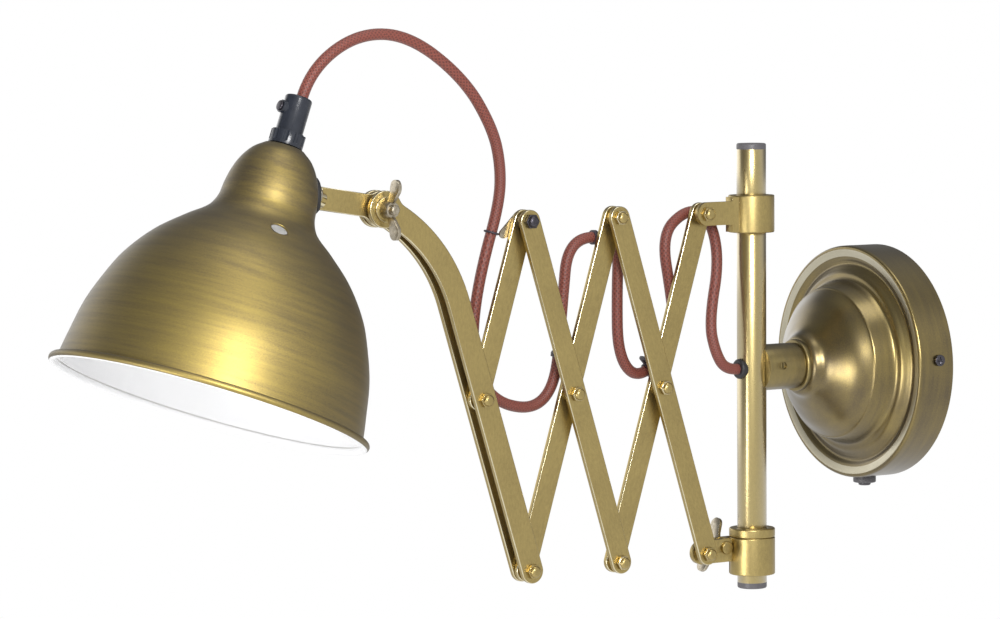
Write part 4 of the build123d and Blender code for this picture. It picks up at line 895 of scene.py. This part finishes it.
    def hang_lamp(self, name: str, place: Point, size: float, power: float, aim: Point | None = None) -> None:
        """Hangs one soft round lamp that looks at the object.

        Args:
            name: The lamp's name.
            place: Where it hangs.
            size: Its diameter.
            power: Its power in watts.
            aim: What it looks at, where that isn't the object's middle.
        """
        data = bpy.data.lights.new(name, "AREA")
        data.shape = "DISK"
        data.size = size
        data.energy = power
        lamp = bpy.data.objects.new(name, data)
        way = (Vector(place) - Vector(aim or self.middle)).normalized()
        lamp.matrix_world = Matrix.Translation(place) @ way.to_track_quat("Z", "Y").to_matrix().to_4x4()
        lamp.visible_camera = False
        bpy.context.scene.collection.objects.link(lamp)

    def build(self) -> None:
        """Sets the whole studio up."""
        bpy.context.scene.view_settings.view_transform = "Standard"
        self.place_camera()
        self.lay_floor()
        self.light_world()
        self.hang_lamp("key", (0.82, -0.60, 0.33), 0.34, 7.5)
        self.hang_lamp("front", (0.27, -1.3, -0.22), 0.42, 4.5, (0.0, 0.0, 0.0))
        self.hang_lamp("top", (0.4, -0.1, 1.6), 0.9, 5.0)


# ---- Cord ----
@dataclass(frozen=True)
class CordStretch:
    """One stretch of the cord between two pieces that hold it."""

    node: str
    bodies: tuple[str, str]
    length: float
    points: tuple[Point, ...]


@dataclass
class TextileCord:
    """The braided cord from the grip over the arm to the pole, in the stretches that its holders divide."""

    workshop: Workshop
    radius: float = 3.0
    stretches: tuple[CordStretch, ...] = (
        CordStretch("cord_grip_to_peak", ("head", "curved_arm"), 62.3, (
            (-3.651, -365.951, 150.448), (-4.343, -360.401, 164.905), (-4.5, -333.0, 182.8),
            (-4.75, -317.25, 182.3),
        )),
        CordStretch("cord_peak_to_ring", ("curved_arm", "bar_b3"), 143.1, (
            (-4.75, -317.25, 182.3), (-5.0, -301.5, 181.8), (-6.0, -267.5, 158.8), (-7.5, -249.2, 132.6),
            (-8.5, -243.9, 112.9), (-9.0, -244.6, 93.9), (-9.875, -249.2, 78.55),
        )),
        CordStretch("cord_ring_to_tie_f2", ("bar_b3", "bar_f2"), 151.3, (
            (-9.875, -249.2, 78.55), (-12.5, -263.0, 32.5), (-12.0, -253.0, -10.5), (-11.5, -210.0, -17.3),
            (-10.15, -207.57, 12.562),
        )),
        CordStretch("cord_tie_f2_to_b2", ("bar_f2", "bar_b2"), 73.1, (
            (-10.15, -207.57, 12.562), (-9.0, -205.5, 38.0), (-9.0, -201.5, 74.5), (-9.0, -185.25, 73.75),
        )),
        CordStretch("cord_b2_to_tie_f1", ("bar_b2", "bar_f1"), 96.4, (
            (-9.0, -185.25, 73.75), (-9.0, -169.0, 73.0), (-9.0, -170.4, 42.0), (-9.0, -170.0, 11.0),
            (-9.0, -159.0, -3.0), (-9.0, -150.6, 1.5),
        )),
        CordStretch("cord_tie_f1_to_b1", ("bar_f1", "bar_b1"), 38.9, (
            (-9.0, -150.6, 1.5), (-9.0, -131.0, 12.0), (-9.0, -134.01, 33.0),
        )),
        CordStretch("cord_b1_to_collar", ("bar_b1", "top_collar"), 66.3, (
            (-9.0, -134.01, 33.0), (-9.0, -135.3, 42.0), (-9.0, -141.0, 73.0), (-11.0, -125.5, 85.5),
            (-11.0, -117.5, 85.25),
        )),
        CordStretch("cord_collar_to_pole", ("top_collar", "wall_mount"), 102.6, (
            (-11.0, -117.5, 85.25), (-11.0, -109.5, 85.0), (-8.5, -103.0, 60.5), (-4.0, -113.5, 25.5),
            (-1.0, -111.5, 9.0), (0.0, -105.5, -0.5), (0.0, -97.6, -0.5),
        )),
    )

    def route(self, stretch: CordStretch, thickness: float) -> bpy.types.Mesh:
        """The mesh of one stretch's NURBS spline, bare or as a tube.

        Args:
            stretch: The stretch.
            thickness: The tube's radius in metres, or 0 for the bare line.

        Returns:
            The mesh.
        """
        curve = bpy.data.curves.new(f"{stretch.node}_route", "CURVE")
        curve.dimensions = "3D"
        curve.resolution_u = 16
        curve.bevel_depth = thickness
        curve.bevel_resolution = 7
        spline = curve.splines.new("NURBS")
        spline.points.add(len(stretch.points) - 1)
        for knot, place in zip(spline.points, stretch.points):
            knot.co = (*(Vector(place) * MM), 1.0)
        spline.order_u = 3
        spline.use_endpoint_u = True
        carrier = bpy.data.objects.new("route", curve)
        bpy.context.scene.collection.objects.link(carrier)
        graph = bpy.context.evaluated_depsgraph_get()
        mesh = bpy.data.meshes.new_from_object(carrier.evaluated_get(graph))
        bpy.data.objects.remove(carrier)
        return mesh

    def build(self) -> None:
        """Lays every stretch as a braided tube in its CAD node's stead."""
        for stretch in self.stretches:
            line = [v.co.copy() for v in self.route(stretch, 0.0).vertices]
            tube = self.route(stretch, self.radius * MM)
            tube.materials.clear()
            finish = BraidedTextile(f"braid_{stretch.node}", stretch.length * MM)
            tube.materials.append(self.workshop.finishes.of(finish))
            tube.shade_smooth()
            piece = bpy.data.objects.new(f"{stretch.node}_braided", tube)
            bpy.context.scene.collection.objects.link(piece)
            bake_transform(piece)
            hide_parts(stretch.node)
            self.workshop.report(piece)


# ---- Head ----
@dataclass
class Head:
    """The spun shade with its white inside, the neck fittings, the lampholder and the grip."""

    workshop: Workshop
    sheet: float = 1.2
    bead_radius: float = 2.0
    bead_centre: tuple[float, float] = (80.7, 2.0)
    outer: tuple[tuple[float, float], ...] = (
        (78.6, 3.4), (78.2, 7.5), (76.9, 16.0), (73.8, 33.0), (68.7, 48.0), (62.3, 62.0), (51.3, 77.0),
        (38.3, 89.0), (28.6, 97.0), (25.2, 103.5), (24.2, 111.0), (22.75, 118.2), (20.0, 125.5),
        (15.6, 132.0), (10.4, 136.2),
    )
    neck_hole: tuple[float, float] = (5.2, 137.0)
    rise_share: float = 0.6
    inside_below: float = -0.1
    bead_inside_below: float = -0.3
    bead_under: tuple[float, float] = (0.5, 0.3)
    vent_station: float = 90.0
    vent_out: float = 37.0
    vent_rise: float = 0.75
    vent_angle: float = radians(-15.0)
    vent_radius: float = 4.4
    stud_out: float = 23.0
    stud_radius: float = 2.5
    drill_length: float = 12.0
    shell_radius: float = 11.35
    shell_wave: float = 0.3
    shell_foot: float = 93.0
    shell_step: float = 1.15
    shell_waves: int = 20
    shell_end: tuple[tuple[float, float], ...] = ((3.0, 116.2), (3.0, 115.0), (0.4, 114.4))
    shell_turns: int = 48
    turns: int = 160

    def build_shade(self) -> None:
        """Spins the shade, drills its vent and stud holes and paints its inside."""
        finishes = self.workshop.finishes
        outer_line = [*flowing(list(self.outer)), Vector((self.neck_hole[0], 0, self.neck_hole[1]))]
        mesh = spun(outer_line, self.turns, self.sheet)
        for face in mesh.faces:
            middle = face.calc_center_median()
            radial = Vector((middle.x, middle.y, 0)).normalized()
            outwards = face.normal.dot(radial) + face.normal.z * self.rise_share
            face.material_index = 1 if outwards < self.inside_below else 0
        bmesh.ops.transform(mesh, matrix=SHADE_PLACE, verts=mesh.verts)
        piece = object_of("shade_spun", mesh, [finishes.of(finishes.shade), finishes.of(finishes.enamel)])
        across = SHADE_AXIS.cross(SHADE_ACROSS)
        vent_way = SHADE_ACROSS * cos(self.vent_angle) + across * sin(self.vent_angle)
        vent_at = SHADE_MOUTH + SHADE_AXIS * self.vent_station + vent_way * self.vent_out
        stud_at = SHADE_MOUTH + SHADE_AXIS * STUD_STATION + across * self.stud_out
        drilled(piece, [
            (vent_at, vent_way + SHADE_AXIS * self.vent_rise, self.vent_radius, self.drill_length),
            (stud_at, across, self.stud_radius, self.drill_length),
        ])
        self.workshop.settle(piece, Slot.BRONZE, "shade")

    def build_bead(self) -> None:
        """Rolls the shade's rim bead, white on its inner side and underneath."""
        mesh = bmesh.new()
        bmesh.ops.create_circle(mesh, segments=20, radius=self.bead_radius * MM)
        bmesh.ops.rotate(mesh, cent=(0, 0, 0), matrix=Matrix.Rotation(pi / 2, 3, "X"), verts=mesh.verts)
        offset = Vector((self.bead_centre[0], 0, self.bead_centre[1])) * MM
        bmesh.ops.translate(mesh, vec=offset, verts=mesh.verts)
        bmesh.ops.spin(
            mesh, geom=[*mesh.verts, *mesh.edges], cent=(0, 0, 0), axis=(0, 0, 1), angle=2 * pi,
            steps=self.turns, use_merge=True,
        )
        bmesh.ops.remove_doubles(mesh, verts=mesh.verts, dist=WELD)
        bmesh.ops.recalc_face_normals(mesh, faces=mesh.faces)
        for face in mesh.faces:
            middle = face.calc_center_median()
            outwards = face.normal.dot(Vector((middle.x, middle.y, 0)).normalized())
            under = outwards < self.bead_under[0] and face.normal.z < self.bead_under[1]
            face.material_index = 1 if outwards < self.bead_inside_below or under else 0
        bmesh.ops.transform(mesh, matrix=SHADE_PLACE, verts=mesh.verts)
        finishes = self.workshop.finishes
        piece = object_of("shade_rim_bead", mesh, [finishes.of(finishes.shade), finishes.of(finishes.enamel)])
        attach(piece, "head")
        self.workshop.report(piece)

    def build_socket(self) -> None:
        """Spins the threaded shell inside the lampholder."""
        finishes = self.workshop.finishes
        waves = [
            (self.shell_radius + self.shell_wave * cos(turn * pi), self.shell_foot + turn * self.shell_step)
            for turn in range(self.shell_waves)
        ]
        line = [*flowing(waves, 3), *(Vector((r, 0, h)) for r, h in self.shell_end)]
        mesh = spun(line, self.shell_turns)
        bmesh.ops.transform(mesh, matrix=SHADE_PLACE, verts=mesh.verts)
        piece = object_of("lampholder_shell", mesh, [finishes.of(finishes.fittings)])
        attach(piece, "head")
        self.workshop.report(piece)

    def build(self) -> None:
        """Builds the head's pieces."""
        self.build_shade()
        self.build_bead()
        self.build_socket()
        shop, f = self.workshop, self.workshop.finishes
        shop.dress("head_strap", Slot.BRASS, f.fittings, 0.0, f.worn)
        shop.dress("neck_washer", Slot.NICKEL, f.nickel, 0.2)
        shop.dress("neck_gasket", Slot.RUBBER, f.rubber, 0.3)
        shop.dress("stud_nut", Slot.STEEL, f.steel, 0.2)
        shop.dress("lampholder", Slot.PLASTIC, f.porcelain, 0.5)
        shop.dress("cord_grip", Slot.PLASTIC, f.grip, 0.35)
        shop.dress("grip_screw", Slot.STEEL, f.dark_steel, 0.3)
        shop.paint("lamp_nipple", f.steel)


# ---- Arm ----
@dataclass
class ScissorArm:
    """The flat bars, the curved arm, their pivots and the knuckle."""

    workshop: Workshop
    rising: tuple[str, ...] = ("bar_f1", "bar_f2")
    falling: tuple[str, ...] = ("bar_b1", "bar_b2", "bar_b3")
    arms: tuple[str, ...] = ("curved_arm_front", "curved_arm_rear")
    brass_pivots: tuple[str, ...] = (
        "pivot_top_collar", "pivot_low_collar", "pivots_bar_b1", "pivot_bar_f1", "pivot_bar_b2",
        "pivots_curved_arm",
    )
    ties: tuple[str, ...] = ("tie_bar_f1", "tie_bar_b2", "tie_bar_f2")
    ring_at: Vector = field(default_factory=lambda: Vector((-9.875, -249.2, 78.55)))
    ring_reach: float = 4.7

    def build(self) -> None:
        """Dresses the arm's pieces, the hook with a bright plate and a dark ring."""
        shop, f = self.workshop, self.workshop.finishes
        for node in self.rising:
            shop.dress(node, Slot.BRASS, f.rising, 0.0, f.worn)
        for node in self.falling:
            shop.dress(node, Slot.BRASS, f.falling, 0.0, f.worn)
        for node in self.arms:
            shop.dress(node, Slot.BRASS, f.fittings, 0.0, f.worn)
        for node in self.brass_pivots:
            shop.dress(node, Slot.BRASS, f.fittings, 0.2, f.worn)
        shop.dress("pivot_bar_b3", Slot.BRASS, f.dark_steel, 0.2)
        for node in self.ties:
            shop.dress(node, Slot.PLASTIC, f.tie, 0.15)
        hook = shop.dress("cord_hook", Slot.STEEL, f.nickel, 0.0, f.tie)
        for side in hook.data.polygons:
            side.material_index = 1 if (side.center - self.ring_at * MM).length < self.ring_reach * MM else 0
        shop.dress("knuckle_bolt", Slot.NICKEL, f.nickel, 0.2)
        shop.dress("knuckle_washers", Slot.BRASS, f.fittings, 0.2, f.worn)
        shop.dress("knuckle_wing_nut", Slot.NICKEL, f.nickel, 0.45)


# ---- Wall side ----
@dataclass
class WallMount:
    """The turned plate with its ring and stub, the pole with its collars, and the switch."""

    workshop: Workshop
    turns: int = 160
    sheet: float = 1.2
    plate_line: tuple[tuple[float, float], ...] = (
        (64.0, 0.0), (64.0, 10.0), (64.0, 20.6), (63.7, 21.8), (62.9, 22.4), (60.8, 22.3), (57.0, 21.3),
        (54.4, 20.0), (52.2, 21.2), (49.0, 23.6), (46.6, 24.2), (45.2, 25.2), (43.6, 29.4), (41.6, 34.8),
        (41.1, 35.6), (40.4, 36.0), (34.0, 42.3), (26.0, 47.6), (19.0, 52.0), (15.0, 57.0), (8.2, 57.0),
    )
    bare_lip: tuple[float, float] = (57.8, 62.0)
    lip_facing: float = 0.8

    def build_plate(self) -> None:
        """Spins the wall plate and gives its sheet a thickness."""
        finishes = self.workshop.finishes
        mesh = spun(flowing(list(self.plate_line), 7), self.turns, self.sheet)
        for face in mesh.faces:
            middle = face.calc_center_median()
            out = Vector((middle.x, middle.y)).length / MM
            bare = self.bare_lip[0] < out < self.bare_lip[1] and face.normal.z > self.lip_facing
            face.material_index = 1 if bare else 0
        bmesh.ops.transform(mesh, matrix=PLATE_PLACE, verts=mesh.verts)
        piece = object_of("wall_plate_spun", mesh, [finishes.of(finishes.plate), finishes.of(finishes.lip)])
        self.workshop.settle(piece, Slot.BRONZE, "wall_plate")

    def build(self) -> None:
        """Builds the plate and dresses the rest."""
        self.build_plate()
        shop, f = self.workshop, self.workshop.finishes
        shop.dress("nose_ring", Slot.BRONZE, f.stub, 0.2)
        shop.dress("stub_tube", Slot.BRONZE, f.stub, 0.3)
        shop.dress("stub_set_screw", Slot.STEEL, f.stub, 0.3, f.worn)
        shop.dress("pole", Slot.BRASS, f.pole, 0.15)
        shop.dress("pole_caps", Slot.PLASTIC, f.cap, 0.0)
        shop.dress("pole_grommet", Slot.RUBBER, f.rubber, 0.2)
        for node in ("upper_collar", "lower_sleeve", "lower_clamp"):
            shop.dress(node, Slot.BRASS, f.fittings, 0.35, f.worn)
        shop.dress("collar_dog_screw", Slot.STEEL, f.dark_steel, 0.2)
        shop.dress("clamp_screw", Slot.BRASS, f.fittings, 0.2)
        shop.dress("clamp_wing_nut", Slot.NICKEL, f.nickel, 0.45)
        shop.dress("switch_body", Slot.PLASTIC, f.cap, 0.25)
        shop.dress("switch_button", Slot.PLASTIC, f.plastic, 0.25)
        shop.dress("plate_side_screws", Slot.STEEL, f.dark_steel, 0.35)
        for node in ("wall_bracket", "stub_lock_nut", "switch_nut"):
            shop.dress(node, Slot.STEEL, f.steel, 0.2)
        shop.dress("terminal_block", Slot.PLASTIC, f.porcelain, 0.3)
        shop.paint("lead_in_stub", f.tie)


def main() -> None:
    """Builds the lamp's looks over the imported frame, reporting each piece."""
    logging.basicConfig(level=logging.INFO, format="%(name)s %(message)s")
    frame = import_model()
    Studio().build()
    workshop = Workshop(frame, Finishes(ShaderGroups()))
    TextileCord(workshop).build()
    Head(workshop).build()
    ScissorArm(workshop).build()
    WallMount(workshop).build()


if __name__ == "__main__":
    main()
